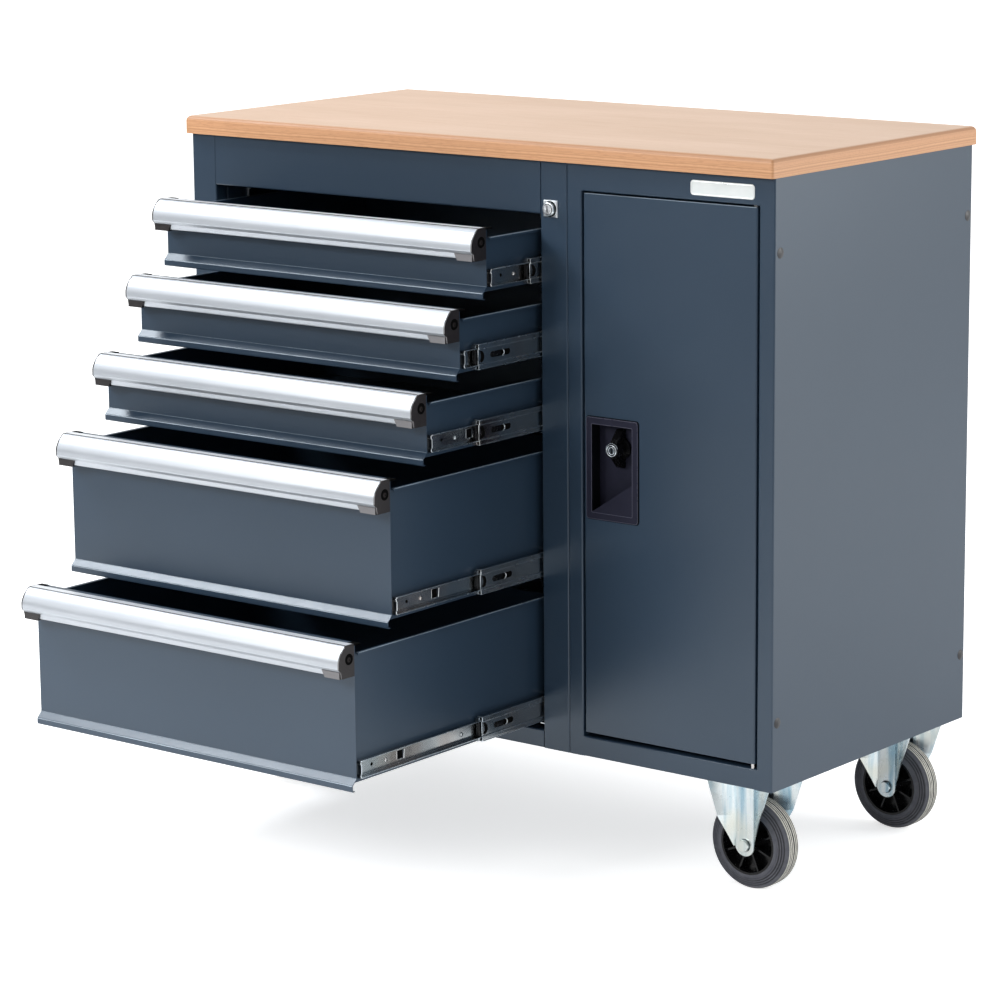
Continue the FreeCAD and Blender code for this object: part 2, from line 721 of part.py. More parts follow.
def drawer_grip(index):
    left = DRAWER_MIDDLE - FRONT_WIDTH / 2 + CAP_THICKNESS
    length = FRONT_WIDTH - 2 * CAP_THICKNESS
    grip = fold(GRIP_CENTRE_LINE, GRIP_WALL, list(GRIP_BENDS), grip_place(index, left), point(length, 0, 0))
    place = grip_place(index, left)
    for out, up in GRIP_GROOVE_SPOTS:
        groove = rod(place(out, up), ALONG_X, GRIP_GROOVE / 2, length)
        grip = grip.cut(groove)
    grip = grip.cut(foot_cutter(index, left, 1))
    return grip.cut(foot_cutter(index, left + length, -1))


def grip_caps(index):
    half = GRIP_WALL / 2
    radii = [0.5, 1.0, 7.5, 28.0, 16.0, 1.0, 1.0, 1.5]
    line = GRIP_CENTRE_LINE
    outline = [
        (0.0, CAP_BOTTOM), (0.0, line[1][1] + half), (line[2][0] + 0.5, line[2][1] + half),
        (line[3][0] + 0.9, line[3][1] + 0.6), (line[4][0] + half, line[4][1] + 0.2),
        (line[5][0] + half, line[5][1] - 0.4), (line[6][0] + half, line[6][1]),
        (line[7][0] + half, CAP_BOTTOM),
    ]
    caps = []
    for end, inward in ((DRAWER_MIDDLE - FRONT_WIDTH / 2, 1), (DRAWER_MIDDLE + FRONT_WIDTH / 2, -1)):
        place = grip_place(index, end)
        plate = rounded_face(outline, radii, place).extrude(point(inward * CAP_THICKNESS, 0, 0))
        hole = rod(place(*CAP_HOLE_SPOT), ALONG_X * inward, CAP_HOLE_RADIUS, CAP_THICKNESS / 2)
        inner_end = end + inward * CAP_THICKNESS
        foot = foot_cutter(index, inner_end, inward)
        caps.append(joined([plate.cut(hole), foot]))
    return caps


# Drawer slides: sections are drawn out from the cabinet's mounting face and up from the slide's middle


def slide_place(index, side, y):
    """Turns (out, up) into a point. side is -1 for the left slide and +1 for the right one."""
    mount = DRAWER_MIDDLE + side * (OPENING_RIGHT - OPENING_LEFT) / 2
    middle = face_bottom(index) + SLIDE_CENTRE
    return lambda out, up: point(mount - side * out, y, middle + up)


def channel(web, reach, height, towards):
    """Centre line of a slide member: a web at the distance web, with flanges to the distance reach."""
    half = SLIDE_SHEET / 2
    top = height / 2 - half
    return [(reach, top), (web + towards * half, top), (web + towards * half, -top), (reach, -top)]


def cabinet_slides():
    members = []
    path = channel(0.0, CABINET_MEMBER_REACH, SLIDE_HEIGHT, 1)
    for index in range(len(DRAWER_UNITS)):
        for side in (-1, 1):
            place = slide_place(index, side, SLIDE_SET_BACK)
            members.append(fold(path, SLIDE_SHEET, 1.5, place, point(0, SLIDE_LENGTH, 0)))
    return members


def mid_section():
    """The middle member's section: a web with a raised band, and flanges that hold the balls."""
    web = SLIDE_SHEET + SLIDE_RUNNING_GAP
    half = SLIDE_SHEET / 2
    top = MID_HEIGHT / 2 - half
    band = MID_STEP_HEIGHT / 2
    near, far = web + half, web + half + MID_STEP
    upper = [(web + MID_REACH, top), (near, top), (near, band + MID_STEP), (far, band)]
    return upper + [(out, -up) for out, up in upper[::-1]]


def mid_slides(index):
    web = SLIDE_SHEET + SLIDE_RUNNING_GAP
    front = MID_SET_BACK - REST_MID_OPENING[index]
    pieces = []
    for side in (-1, 1):
        place = slide_place(index, side, front)
        member = fold(mid_section(), SLIDE_SHEET, [0, 1.2, 0.3, 0.3, 0.3, 0.3, 1.2, 0],
                      place, point(0, MID_LENGTH, 0))
        member = member.cut(slide_slot(place(0, 0), side, MID_SLOT_START, MID_SLOT_LENGTH, MID_SLOT_HEIGHT))
        pieces.append(member)
        for sign in (-1, 1):
            low = MID_HEIGHT / 2
            high = SLIDE_HEIGHT / 2 - SLIDE_SHEET - SLIDE_RUNNING_GAP
            start = front + MID_LENGTH - CAGE_OUTER_LENGTH
            out = web + CAGE_OUTER_OFFSET
            pieces.append(cage(index, side, sign, out, low, high, start, CAGE_OUTER_LENGTH))
            low = INNER_HEIGHT / 2 + SLIDE_RUNNING_GAP
            high = MID_HEIGHT / 2 - SLIDE_SHEET
            start = front - CAGE_FRONT
            out = web + CAGE_INNER_OFFSET
            pieces.append(cage(index, side, sign, out, low, high, start, CAGE_INNER_LENGTH))
    return pieces


def cage(index, side, sign, out, low, high, start, length):
    """A ball cage, a strip that fills the ball race between two members."""
    place = slide_place(index, side, start)
    a, b = place(out, sign * low), place(out + CAGE_WIDTH, sign * high)
    x0, x1 = sorted((a.x, b.x))
    z0, z1 = sorted((a.z, b.z))
    return box(x0, x1, start, start + length, z0, z1)


def slide_slot(base, side, start, length, height):
    """A slot with round ends through a slide member's web."""
    radius = height / 2
    x0, x1 = sorted((base.x, base.x - side * SLIDE_SPACE / 2))
    y0, y1 = base.y + start + radius, base.y + start + length - radius
    cutter = [box(x0, x1, y0, y1, base.z - radius, base.z + radius)]
    for y in (y0, y1):
        cutter.append(rod(point(x0, y, base.z), ALONG_X, radius, x1 - x0))
    return joined(cutter)


def drawer_slides(index):
    front = SLIDE_SET_BACK - REST_OPENING[index]
    path = channel(SLIDE_SPACE, SLIDE_SPACE - INNER_REACH, INNER_HEIGHT, -1)
    members = []
    for side in (-1, 1):
        place = slide_place(index, side, front)
        member = fold(path, SLIDE_SHEET, 1.0, place, point(0, SLIDE_LENGTH, 0))
        web = place(SLIDE_SPACE, 0)
        x0, x1 = sorted((web.x, web.x + side * SLIDE_SHEET))
        for distance in INNER_HOLES:
            member = member.cut(rod(point(x0, front + distance, web.z), ALONG_X, SLIDE_HOLE_RADIUS, x1 - x0))
        punch_z = PUNCH_HEIGHT / 2
        punch_y = front + PUNCH_START
        member = member.cut(box(x0, x1, punch_y, punch_y + PUNCH_LENGTH, web.z - punch_z, web.z + punch_z))
        members.append(member)
    return members


# Door


def door_panel():
    half = SHEET / 2
    deep = DOOR_THICKNESS - half
    path = [
        (DOOR_LEFT + DOOR_INNER_RETURN, deep), (DOOR_LEFT + half, deep), (DOOR_LEFT + half, half),
        (DOOR_RIGHT - half, half), (DOOR_RIGHT - half, deep), (DOOR_RIGHT - DOOR_INNER_RETURN, deep),
    ]
    panel = fold(path, SHEET, BEND, on_plan(DOOR_BOTTOM), point(0, 0, DOOR_TOP - DOOR_BOTTOM))
    ends = []
    for low in (DOOR_BOTTOM, DOOR_TOP - SHEET):
        ends.append(box(DOOR_LEFT + half, DOOR_RIGHT - half, half, DOOR_THICKNESS - SHEET, low, low + SHEET))
    panel = joined([panel] + ends)
    reach = HINGE_PIN_RADIUS + HINGE_CLEARANCE
    for low in (DOOR_BOTTOM, DOOR_TOP - SHEET):
        panel = panel.cut(rod(point(HINGE_X, HINGE_Y, low), ALONG_Z, reach, SHEET))
    margin = TRAY_CUTOUT_MARGIN
    cutout = box(
        TRAY_LEFT + margin, TRAY_LEFT + TRAY_WIDTH - margin, 0, SHEET,
        TRAY_LOW + margin, TRAY_LOW + TRAY_HEIGHT - margin,
    )
    return panel.cut(cutout)


def hinge_pins():
    """Two pins fixed to the rails; the lower one's collar carries the door."""
    pins = []
    for rail_face, door_end, way in (
        (BOTTOM + DOOR_BOTTOM_RAIL_HEIGHT, DOOR_BOTTOM, 1), (TOP - DOOR_TOP_RAIL_HEIGHT, DOOR_TOP, -1),
    ):
        start = point(HINGE_X, HINGE_Y, rail_face)
        collar_height = abs(door_end - rail_face) - REST_GAP
        collar = rod(start, ALONG_Z * way, HINGE_COLLAR_RADIUS, collar_height)
        pin = rod(start, ALONG_Z * way, HINGE_PIN_RADIUS, abs(door_end - rail_face) + HINGE_PIN_REACH)
        pins.append(joined([collar, pin]))
    return pins


def recess_face(grow, y):
    """Outline of the tray's recess, grown outwards: a rectangle whose lower edge rises to the right."""
    left = TRAY_LEFT + TRAY_RIM - grow
    right = TRAY_LEFT + TRAY_WIDTH - TRAY_RIM + grow
    low = TRAY_LOW + TRAY_RIM - grow
    high = TRAY_LOW + TRAY_HEIGHT - TRAY_RIM + grow
    corners = [(left, low), (right, low + TRAY_SLOPE_RISE), (right, high), (left, high)]
    radius = 1.5 + max(grow, 0)
    return rounded_face(corners, [radius] * 4, on_front(y))


def door_tray():
    corners = [
        (TRAY_LEFT, TRAY_LOW), (TRAY_LEFT + TRAY_WIDTH, TRAY_LOW),
        (TRAY_LEFT + TRAY_WIDTH, TRAY_LOW + TRAY_HEIGHT), (TRAY_LEFT, TRAY_LOW + TRAY_HEIGHT),
    ]
    rim_front = -TRAY_RIM_THICKNESS
    rim = rounded_face(corners, [TRAY_CORNER] * 4, on_front(rim_front))
    rim = rim.extrude(point(0, TRAY_RIM_THICKNESS, 0))
    front_edges = [e for e in rim.Edges if abs(e.BoundBox.YMax - rim_front) < 1e-6]
    rim = rim.makeFillet(TRAY_RIM_THICKNESS * 0.45, front_edges)
    shell_wall = TRAY_WALL + TRAY_UNDERCUT
    shell = recess_face(shell_wall, 0).extrude(point(0, TRAY_FLOOR_BACK, 0))
    tray = joined([rim, shell])
    mouth = recess_face(0, rim_front).extrude(point(0, TRAY_RIM_THICKNESS + TRAY_WALL, 0))
    pocket = recess_face(TRAY_UNDERCUT, TRAY_WALL).extrude(point(0, TRAY_DEPTH - TRAY_WALL, 0))
    right_wall = box(
        TRAY_LEFT + TRAY_WIDTH - TRAY_RIM, TRAY_LEFT + TRAY_WIDTH, 0, TRAY_DEPTH,
        TRAY_LOW, TRAY_LOW + TRAY_HEIGHT,
    )
    tray = tray.cut(mouth).cut(pocket.cut(right_wall))
    shaft_hole = rod(point(KNOB_X, 0, KNOB_Z), ALONG_Y, KNOB_SHAFT_RADIUS + TURN_CLEARANCE, TRAY_FLOOR_BACK)
    return tray.cut(shaft_hole)


def door_knob():
    """A turning knob: a disc with a blade that rises to a round collar, and a shaft behind."""
    back = TRAY_DEPTH - REST_GAP
    reach = KNOB_LENGTH / 2
    tip_front = back - KNOB_TIP_THICKNESS
    profile = [
        (back, KNOB_Z - reach), (tip_front, KNOB_Z - reach), (KNOB_CROWN_FRONT, KNOB_Z - KNOB_CROWN_HALF),
        (KNOB_CROWN_FRONT, KNOB_Z + KNOB_CROWN_HALF), (tip_front, KNOB_Z + reach), (back, KNOB_Z + reach),
    ]
    blade = rounded_face(profile, [0, 2.0, 3.0, 3.0, 2.0, 0], on_side(KNOB_X - KNOB_BLADE_WIDTH / 2))
    blade = blade.extrude(point(KNOB_BLADE_WIDTH, 0, 0))
    disc = rod(
        point(KNOB_X, back - KNOB_DISC_THICKNESS, KNOB_Z), ALONG_Y, KNOB_DISC_RADIUS, KNOB_DISC_THICKNESS,
    )
    collar_start = point(KNOB_X, KNOB_COLLAR_FRONT, KNOB_Z)
    collar = rod(collar_start, ALONG_Y, KNOB_COLLAR_RADIUS, back - KNOB_COLLAR_FRONT)
    shaft = rod(collar_start, ALONG_Y, KNOB_SHAFT_RADIUS, latch_front() - KNOB_COLLAR_FRONT)
    knob = joined([blade, disc, collar, shaft])
    bore_radius = KEY_RADIUS + TURN_CLEARANCE
    bore = rod(point(KNOB_X, KNOB_COLLAR_FRONT, KNOB_Z), ALONG_Y, bore_radius, KEY_DEPTH + REST_GAP)
    return knob.cut(bore)


def latch_front():
    return max(TRAY_FLOOR_BACK, DOOR_THICKNESS) + 2 * SHEET


def key_cylinder(x, front, z, radius, depth):
    """A round key cylinder whose front face has a slot for the key."""
    plug = rod(point(x, front, z), ALONG_Y, radius, depth)
    rim = [e for e in plug.Edges if abs(e.BoundBox.YMax - front) < 1e-6]
    plug = plug.makeChamfer(0.6, rim)
    half = KEY_SLOT_WIDTH / 2
    reach = KEY_SLOT_LENGTH / 2
    return plug.cut(box(x - half, x + half, front, front + KEY_SLOT_DEPTH, z - reach, z + reach))


def door_key_cylinder():
    front = KNOB_COLLAR_FRONT - KEY_PROUD
    return key_cylinder(KNOB_X, front, KNOB_Z, KEY_RADIUS, KEY_DEPTH + KEY_PROUD)


def door_latch():
    """The arm behind the tray. It stands upright while the door is free to open."""
    front = latch_front()
    half = LATCH_WIDTH / 2
    x, z = KNOB_X, KNOB_Z
    corners = [
        (x - half, z - half), (x + half, z - half),
        (x + half, z + LATCH_LENGTH), (x - half, z + LATCH_LENGTH),
    ]
    radii = [half * 0.9, half * 0.9, 3.0, 3.0]
    return rounded_face(corners, radii, on_front(front)).extrude(point(0, LATCH_THICKNESS, 0))


# Central lock of the drawers


def lock_body():
    half = LOCK_PLATE / 2
    corners = [
        (LOCK_X - half, LOCK_Z - half), (LOCK_X + half, LOCK_Z - half),
        (LOCK_X + half, LOCK_Z + half), (LOCK_X - half, LOCK_Z + half),
    ]
    front = -LOCK_PLATE_THICKNESS
    plate = rounded_face(corners, [1.5] * 4, on_front(front)).extrude(point(0, LOCK_PLATE_THICKNESS, 0))
    edges = [e for e in plate.Edges if abs(e.BoundBox.YMax - front) < 1e-6]
    plate = plate.makeChamfer(1.2, edges)
    start = point(LOCK_X, -LOCK_FACE, LOCK_Z)
    length = LOCK_FACE + LOCK_BARREL_DEPTH
    barrel = rod(start, ALONG_Y, LOCK_BARREL_RADIUS, length)
    rim = [e for e in barrel.Edges if abs(e.BoundBox.YMax + LOCK_FACE) < 1e-6]
    barrel = barrel.makeFillet(1.0, rim)
    body = joined([plate, barrel])
    return body.cut(rod(start, ALONG_Y, LOCK_PLUG_RADIUS + TURN_CLEARANCE, length))


def lock_bar_layer():
    """Front and back of the lock bar, just ahead of the upright that guides it."""
    back = UPRIGHT_FRONT - REST_GAP
    return back - LOCK_BAR_THICKNESS, back


def lock_plug():
    """The key cylinder of the central lock, with a cam at its back end and a pin on the cam."""
    lock_front, lock_back = lock_bar_layer()
    cam_back = lock_front - REST_GAP
    plug_front = -LOCK_FACE - KEY_PROUD
    plug = key_cylinder(LOCK_X, plug_front, LOCK_Z, LOCK_PLUG_RADIUS, cam_back - plug_front)
    half = LOCK_CAM_WIDTH / 2
    corners = [
        (LOCK_X - half, LOCK_Z - half), (LOCK_X + LOCK_TRAVEL + half, LOCK_Z - half),
        (LOCK_X + LOCK_TRAVEL + half, LOCK_Z + half), (LOCK_X - half, LOCK_Z + half),
    ]
    cam = rounded_face(corners, [half * 0.95] * 4, on_front(cam_back - LOCK_CAM_THICKNESS))
    cam = cam.extrude(point(0, LOCK_CAM_THICKNESS, 0))
    pin = rod(
        point(LOCK_X + LOCK_TRAVEL, cam_back - LOCK_CAM_THICKNESS, LOCK_Z), ALONG_Y,
        LOCK_PIN_RADIUS, LOCK_CAM_THICKNESS + REST_GAP + LOCK_BAR_THICKNESS,
    )
    return joined([plug, cam, pin])


def lock_bar():
    """The upright bar that the cam pin moves. Its hooks drop behind the top returns of the drawers' faces."""
    front, back = lock_bar_layer()
    half = LOCK_BAR_WIDTH / 2
    head_right = LOCK_X + LOCK_TRAVEL + LOCK_PIN_RADIUS + half
    low, high = LOCK_Z - LOCK_HEAD_HALF, LOCK_Z + LOCK_HEAD_HALF
    pieces = [
        box(LOCK_X - half, LOCK_X + half, front, back, BOTTOM + LOCK_BAR_LOW_END, high),
        box(LOCK_X - half, head_right, front, back, low, high),
    ]
    hook_end = DRAWER_MIDDLE + FRONT_WIDTH / 2 - LOCK_HOOK_REACH
    hook_front = FACE_RETURN + LOCK_HOOK_PLAY
    for index in range(len(DRAWER_UNITS)):
        z = face_bottom(index) + extra_height(index) + FACE_HEIGHT + LOCK_HOOK_LIFT
        pieces.append(box(hook_end, LOCK_X, front, back, z, z + LOCK_HOOK_HEIGHT))
        pieces.append(box(
            hook_end, hook_end + LOCK_BAR_THICKNESS, hook_front, back, z, z + LOCK_HOOK_HEIGHT,
        ))
    play = LOCK_PIN_RADIUS + LOCK_SLOT_PLAY
    slot = box(
        LOCK_X - LOCK_PIN_RADIUS - REST_GAP, LOCK_X + LOCK_TRAVEL + LOCK_PIN_RADIUS + REST_GAP,
        front, back, LOCK_Z - play, LOCK_Z + play,
    )
    return joined(pieces).cut(slot)


# Castors


def castor_places():
    """Middle of each top plate: x, y and whether the castor swivels."""
    return [
        (RIGID_X, CASTOR_FRONT_Y, False), (RIGID_X, CASTOR_REAR_Y, False),
        (SWIVEL_X, CASTOR_FRONT_Y, True), (SWIVEL_X, CASTOR_REAR_Y, True),
    ]


def castor_bolt_places():
    places = []
    for x, y, swivels in castor_places():
        for sx in (-1, 1):
            for sy in (-1, 1):
                places.append((x + sx * BOLT_SPACING_LONG / 2, y + sy * BOLT_SPACING_SHORT / 2))
    return places


def top_plate(x, y):
    """A castor's top plate, against the cabinet's floor."""
    plate = rounded_box(
        x - PLATE_LENGTH / 2, x + PLATE_LENGTH / 2, y - PLATE_WIDTH / 2, y + PLATE_WIDTH / 2,
        BOTTOM - PLATE_THICKNESS, BOTTOM, PLATE_CORNER,
    )
    for bolt_x, bolt_y in castor_bolt_places():
        hole = rod(
            point(bolt_x, bolt_y, BOTTOM - PLATE_THICKNESS), ALONG_Z, BOLT_RADIUS, PLATE_THICKNESS,
        )
        plate = plate.cut(hole)
    return plate


def leg_section(half_web, half_edge, reach, plane):
    """One section of a fork leg, seen from above: a web with its edges turned outwards."""
    outer = [(-half_edge, reach), (-half_web, 0.0), (half_web, 0.0), (half_edge, reach)]
    inner = [(u, v - FORK_SHEET) for u, v in outer[::-1]]
    corners = [plane(u, v) for u, v in outer + inner]
    return Part.makePolygon(corners + corners[:1])


def fork_leg(x, y, side):
    """A leg of a rigid castor, whose wheel rolls along x. side is -1 in front and +1 behind."""
    top = BOTTOM - PLATE_THICKNESS
    outer = FORK_INNER_HALF + FORK_SHEET

    def place(along, across, z):
        return point(x + along, y + side * across, z)
    sections = []
    for drop, half_web, half_edge, reach in FORK_SECTIONS:
        def plane(u, v, down=drop):
            return place(u, outer + v, top - down)
        sections.append(leg_section(half_web, half_edge, reach, plane))
    leg = Part.makeLoft(sections, True, True)
    last_drop, half_web = FORK_SECTIONS[-1][:2]
    end = FORK_END_RADIUS
    corners = [(-half_web, top - last_drop), (half_web, top - last_drop), (end, AXLE_Z), (-end, AXLE_Z)]
    outline = [place(u, FORK_INNER_HALF, z) for u, z in corners]
    outward = ALONG_Y * side
    tongue = Part.Face(Part.makePolygon(outline + outline[:1])).extrude(outward * FORK_SHEET)
    eye = rod(place(0, FORK_INNER_HALF, AXLE_Z), outward, end, FORK_SHEET)
    return [leg, tongue, eye]


def axle_cutter(x, y, along):
    reach = 2 * (FORK_INNER_HALF + FORK_SHEET)
    start = point(x, y, AXLE_Z) - along * reach
    return rod(start, along, AXLE_RADIUS, 2 * reach)


def rigid_fork(x, y):
    pieces = [top_plate(x, y)]
    for side in (-1, 1):
        pieces += fork_leg(x, y, side)
    return joined(pieces).cut(axle_cutter(x, y, ALONG_Y))


def swivel_plate(x, y):
    """A swivel castor's top plate with its kingpin and the fixed race."""
    race_top = BOTTOM - PLATE_THICKNESS
    race = rod(point(x, y, race_top - SWIVEL_RACE_HEIGHT), ALONG_Z, SWIVEL_RACE_RADIUS, SWIVEL_RACE_HEIGHT)
    head_top = crown_top() - FORK_SHEET - SWIVEL_RACE_HEIGHT - SWIVEL_GAP
    pin = rod(point(x, y, head_top), ALONG_Z, KINGPIN_RADIUS, race_top - head_top)
    head = rod(point(x, y, head_top - KINGPIN_HEAD_HEIGHT), ALONG_Z, KINGPIN_HEAD_RADIUS, KINGPIN_HEAD_HEIGHT)
    return joined([top_plate(x, y), race, pin, head])


def castor_mounts():
    """The fixed parts of the castors: two forks with their plates, and two swivel top plates."""
    return [swivel_plate(x, y) if swivels else rigid_fork(x, y) for x, y, swivels in castor_places()]


def swivel_axle_y(y, trail_way):
    return y + trail_way * SWIVEL_TRAIL


def crown_top():
    return BOTTOM - PLATE_THICKNESS - SWIVEL_RACE_HEIGHT - SWIVEL_GAP


def swivel_fork(x, y, trail_way):
    """The turning fork of a swivel castor and its axle bolt. The wheel trails along y by trail_way."""
    top = crown_top()
    end = FORK_END_RADIUS
    outline = [
        (-SWIVEL_FORK_FRONT, top), (SWIVEL_TRAIL + end, top), (SWIVEL_TRAIL + end, AXLE_Z - end),
        (SWIVEL_TRAIL - end, AXLE_Z - end), (-SWIVEL_FORK_FRONT, top - SWIVEL_FORK_SLOPE),
    ]
    radii = [0.0, 4.0, end * 0.98, end * 0.98, 10.0]
    outer = FORK_INNER_HALF + FORK_SHEET
    pieces = []
    for left in (x - outer, x + FORK_INNER_HALF):
        def place(u, v, left=left):
            return point(left, y + trail_way * u, v)
        pieces.append(rounded_face(outline, radii, place).extrude(point(FORK_SHEET, 0, 0)))
    y0, y1 = sorted((y - trail_way * SWIVEL_FORK_FRONT, y + trail_way * SWIVEL_TRAIL))
    pieces.append(box(x - outer, x + outer, y0, y1, top - FORK_SHEET, top))
    pieces.append(rod(point(x, y, top - FORK_SHEET), ALONG_Z, SWIVEL_RACE_RADIUS, FORK_SHEET))
    lower = top - FORK_SHEET - SWIVEL_RACE_HEIGHT
    pieces.append(rod(point(x, y, lower), ALONG_Z, SWIVEL_RACE_RADIUS / 2, SWIVEL_RACE_HEIGHT))
    bore = rod(point(x, y, lower), ALONG_Z, KINGPIN_RADIUS + AXLE_CLEARANCE, SWIVEL_RACE_HEIGHT + FORK_SHEET)
    axle_y = swivel_axle_y(y, trail_way)
    fork = joined(pieces).cut(bore).cut(axle_cutter(x, axle_y, ALONG_X))
    pivot_y, pivot_z = pedal_pivot(y, trail_way)
    pin_hole = PEDAL_PIVOT_RADIUS + AXLE_CLEARANCE
    fork = fork.cut(rod(point(x - outer, pivot_y, pivot_z), ALONG_X, pin_hole, 2 * outer))
    return [fork, axle(x, axle_y, ALONG_X)]


def axle(x, y, along):
    """An axle bolt with its hexagonal head and nut, outside the fork's legs."""
    reach = FORK_INNER_HALF + FORK_SHEET
    middle = point(x, y, AXLE_Z)
    shank = rod(middle - along * reach, along, AXLE_RADIUS, 2 * reach)
    head = hexagon(middle - along * reach, along * -1, AXLE_HEAD_RADIUS, AXLE_HEAD_HEIGHT)
    nut = hexagon(middle + along * reach, along, AXLE_HEAD_RADIUS, AXLE_HEAD_HEIGHT)
    return joined([shank, head, nut])


def carcass_bolts():
    """The worktop's screws, the bolts that join the modules, the castors' bolts and the fixed axles."""
    bolts = worktop_screws()
    for y, z in plug_places():
        middle = point(SPLIT, y, z)
        shank = rod(middle - ALONG_X * SHEET, ALONG_X, MODULE_BOLT_RADIUS, 2 * SHEET)
        head = hexagon(
            middle - ALONG_X * SHEET, ALONG_X * -1, MODULE_BOLT_HEAD_RADIUS, MODULE_BOLT_HEAD_HEIGHT,
        )
        nut = hexagon(middle + ALONG_X * SHEET, ALONG_X, MODULE_BOLT_HEAD_RADIUS, MODULE_BOLT_HEAD_HEIGHT)
        bolts.append(joined([shank, head, nut]))
    for x, y in castor_bolt_places():
        under = BOTTOM - PLATE_THICKNESS
        head = hexagon(point(x, y, under), ALONG_Z * -1, BOLT_HEAD_RADIUS, BOLT_HEAD_HEIGHT)
        shank = rod(point(x, y, under), ALONG_Z, BOLT_RADIUS, BOLT_LENGTH)
        nut = hexagon(point(x, y, BOTTOM + SHEET), ALONG_Z, BOLT_HEAD_RADIUS, BOLT_HEAD_HEIGHT)
        bolts.append(joined([head, shank, nut]))
    for x, y, swivels in castor_places():
        if not swivels:
            bolts.append(axle(x, y, ALONG_Y))
    return bolts


def turned_ring(outline, x, y, along):
    """A ring from its section (radius, offset along the axle), turned about the axle."""
    across = ALONG_Y if abs(along.x) > 0.5 else ALONG_X
    middle = point(x, y, AXLE_Z)
    corners = [middle + across * radius + along * offset for radius, offset in outline]
    return Part.Face(Part.makePolygon(corners + corners[:1])).revolve(middle, along, 360)


def tyre(x, y, along):
    half = WHEEL_WIDTH / 2
    shoulder = half - TYRE_FLANK[-1][1]
    flank = [(WHEEL_RADIUS - below, half - inset) for below, inset in TYRE_FLANK]
    outline = [(TYRE_SEAT_RADIUS, -half)] + [(radius, -offset) for radius, offset in flank]
    outline += flank[::-1] + [(TYRE_SEAT_RADIUS, half)]
    ring = turned_ring(outline, x, y, along)
    bottom = WHEEL_RADIUS - TREAD_GROOVE
    outside = WHEEL_RADIUS + TREAD_GROOVE
    half_groove = TREAD_GROOVE / 2
    for offset in (-shoulder, -shoulder / 2, shoulder / 2, shoulder):
        groove = [
            (bottom, offset - half_groove), (outside, offset - half_groove),
            (outside, offset + half_groove), (bottom, offset + half_groove),
        ]
        ring = ring.cut(turned_ring(groove, x, y, along))
    return ring


def wheel_rim(x, y, along):
    """A ribbed rim: outer ring, thin web, ribs on both sides and the hub."""
    half = WHEEL_WIDTH / 2
    inner = TYRE_SEAT_RADIUS - RIM_WALL
    web = RIM_WEB / 2
    bore = AXLE_RADIUS + AXLE_CLEARANCE
    section = [
        (bore, -HUB_HALF_LENGTH), (HUB_RADIUS, -HUB_HALF_LENGTH), (HUB_RADIUS, -web), (inner, -web),
        (inner, -half), (TYRE_SEAT_RADIUS, -half), (TYRE_SEAT_RADIUS, half), (inner, half),
        (inner, web), (HUB_RADIUS, web), (HUB_RADIUS, HUB_HALF_LENGTH), (bore, HUB_HALF_LENGTH),
    ]
    pieces = [turned_ring(section, x, y, along)]
    middle = point(x, y, AXLE_Z)
    thick = RIM_RIB_THICKNESS / 2
    depth = half - 3 * RIM_RIB_THICKNESS / 2
    across = ALONG_Y if abs(along.x) > 0.5 else ALONG_X
    sideways = along.cross(across)
    start = HUB_RADIUS - 1
    corners = [
        middle + across * start - sideways * thick - along * depth,
        middle + across * (inner + 1) - sideways * thick - along * depth,
        middle + across * (inner + 1) + sideways * thick - along * depth,
        middle + across * start + sideways * thick - along * depth,
    ]
    rib = Part.Face(Part.makePolygon(corners + corners[:1])).extrude(along * (2 * depth))
    for i in range(RIM_RIBS):
        turned = rib.copy()
        turned.rotate(middle, along, 360.0 * (i + 0.5) / RIM_RIBS)
        pieces.append(turned)
    return joined(pieces)


def brake_pedal(x, y, trail_way):
    """A brake lever behind the swivel axis, over the wheel, on a pin through the fork's legs."""
    pivot_y, pivot_z = pedal_pivot(y, trail_way)
    half = PEDAL_WIDTH / 2
    reach = FORK_INNER_HALF + FORK_SHEET
    pin = rod(point(x - reach, pivot_y, pivot_z), ALONG_X, PEDAL_PIVOT_RADIUS, 2 * reach)
    y0, y1 = sorted((pivot_y, pivot_y + trail_way * PEDAL_LENGTH))
    blade = box(x - half, x + half, y0, y1, pivot_z - PEDAL_THICKNESS / 2, pivot_z + PEDAL_THICKNESS / 2)
    return joined([pin, blade])


def pedal_pivot(y, trail_way):
    """Where the pedal turns: y and z."""
    height = AXLE_Z + WHEEL_RADIUS + PEDAL_PIVOT_RADIUS + PEDAL_ABOVE_WHEEL
    return swivel_axle_y(y, trail_way) + trail_way * PEDAL_PIVOT_RADIUS, height


# The nodes


def wheels():
    """Name, x, y and axle direction of each wheel."""
    return [
        ("right_front", RIGID_X, CASTOR_FRONT_Y, ALONG_Y),
        ("right_rear", RIGID_X, CASTOR_REAR_Y, ALONG_Y),
        ("left_front", SWIVEL_X, swivel_axle_y(CASTOR_FRONT_Y, 1), ALONG_X),
        ("left_rear", SWIVEL_X, swivel_axle_y(CASTOR_REAR_Y, -1), ALONG_X),
    ]


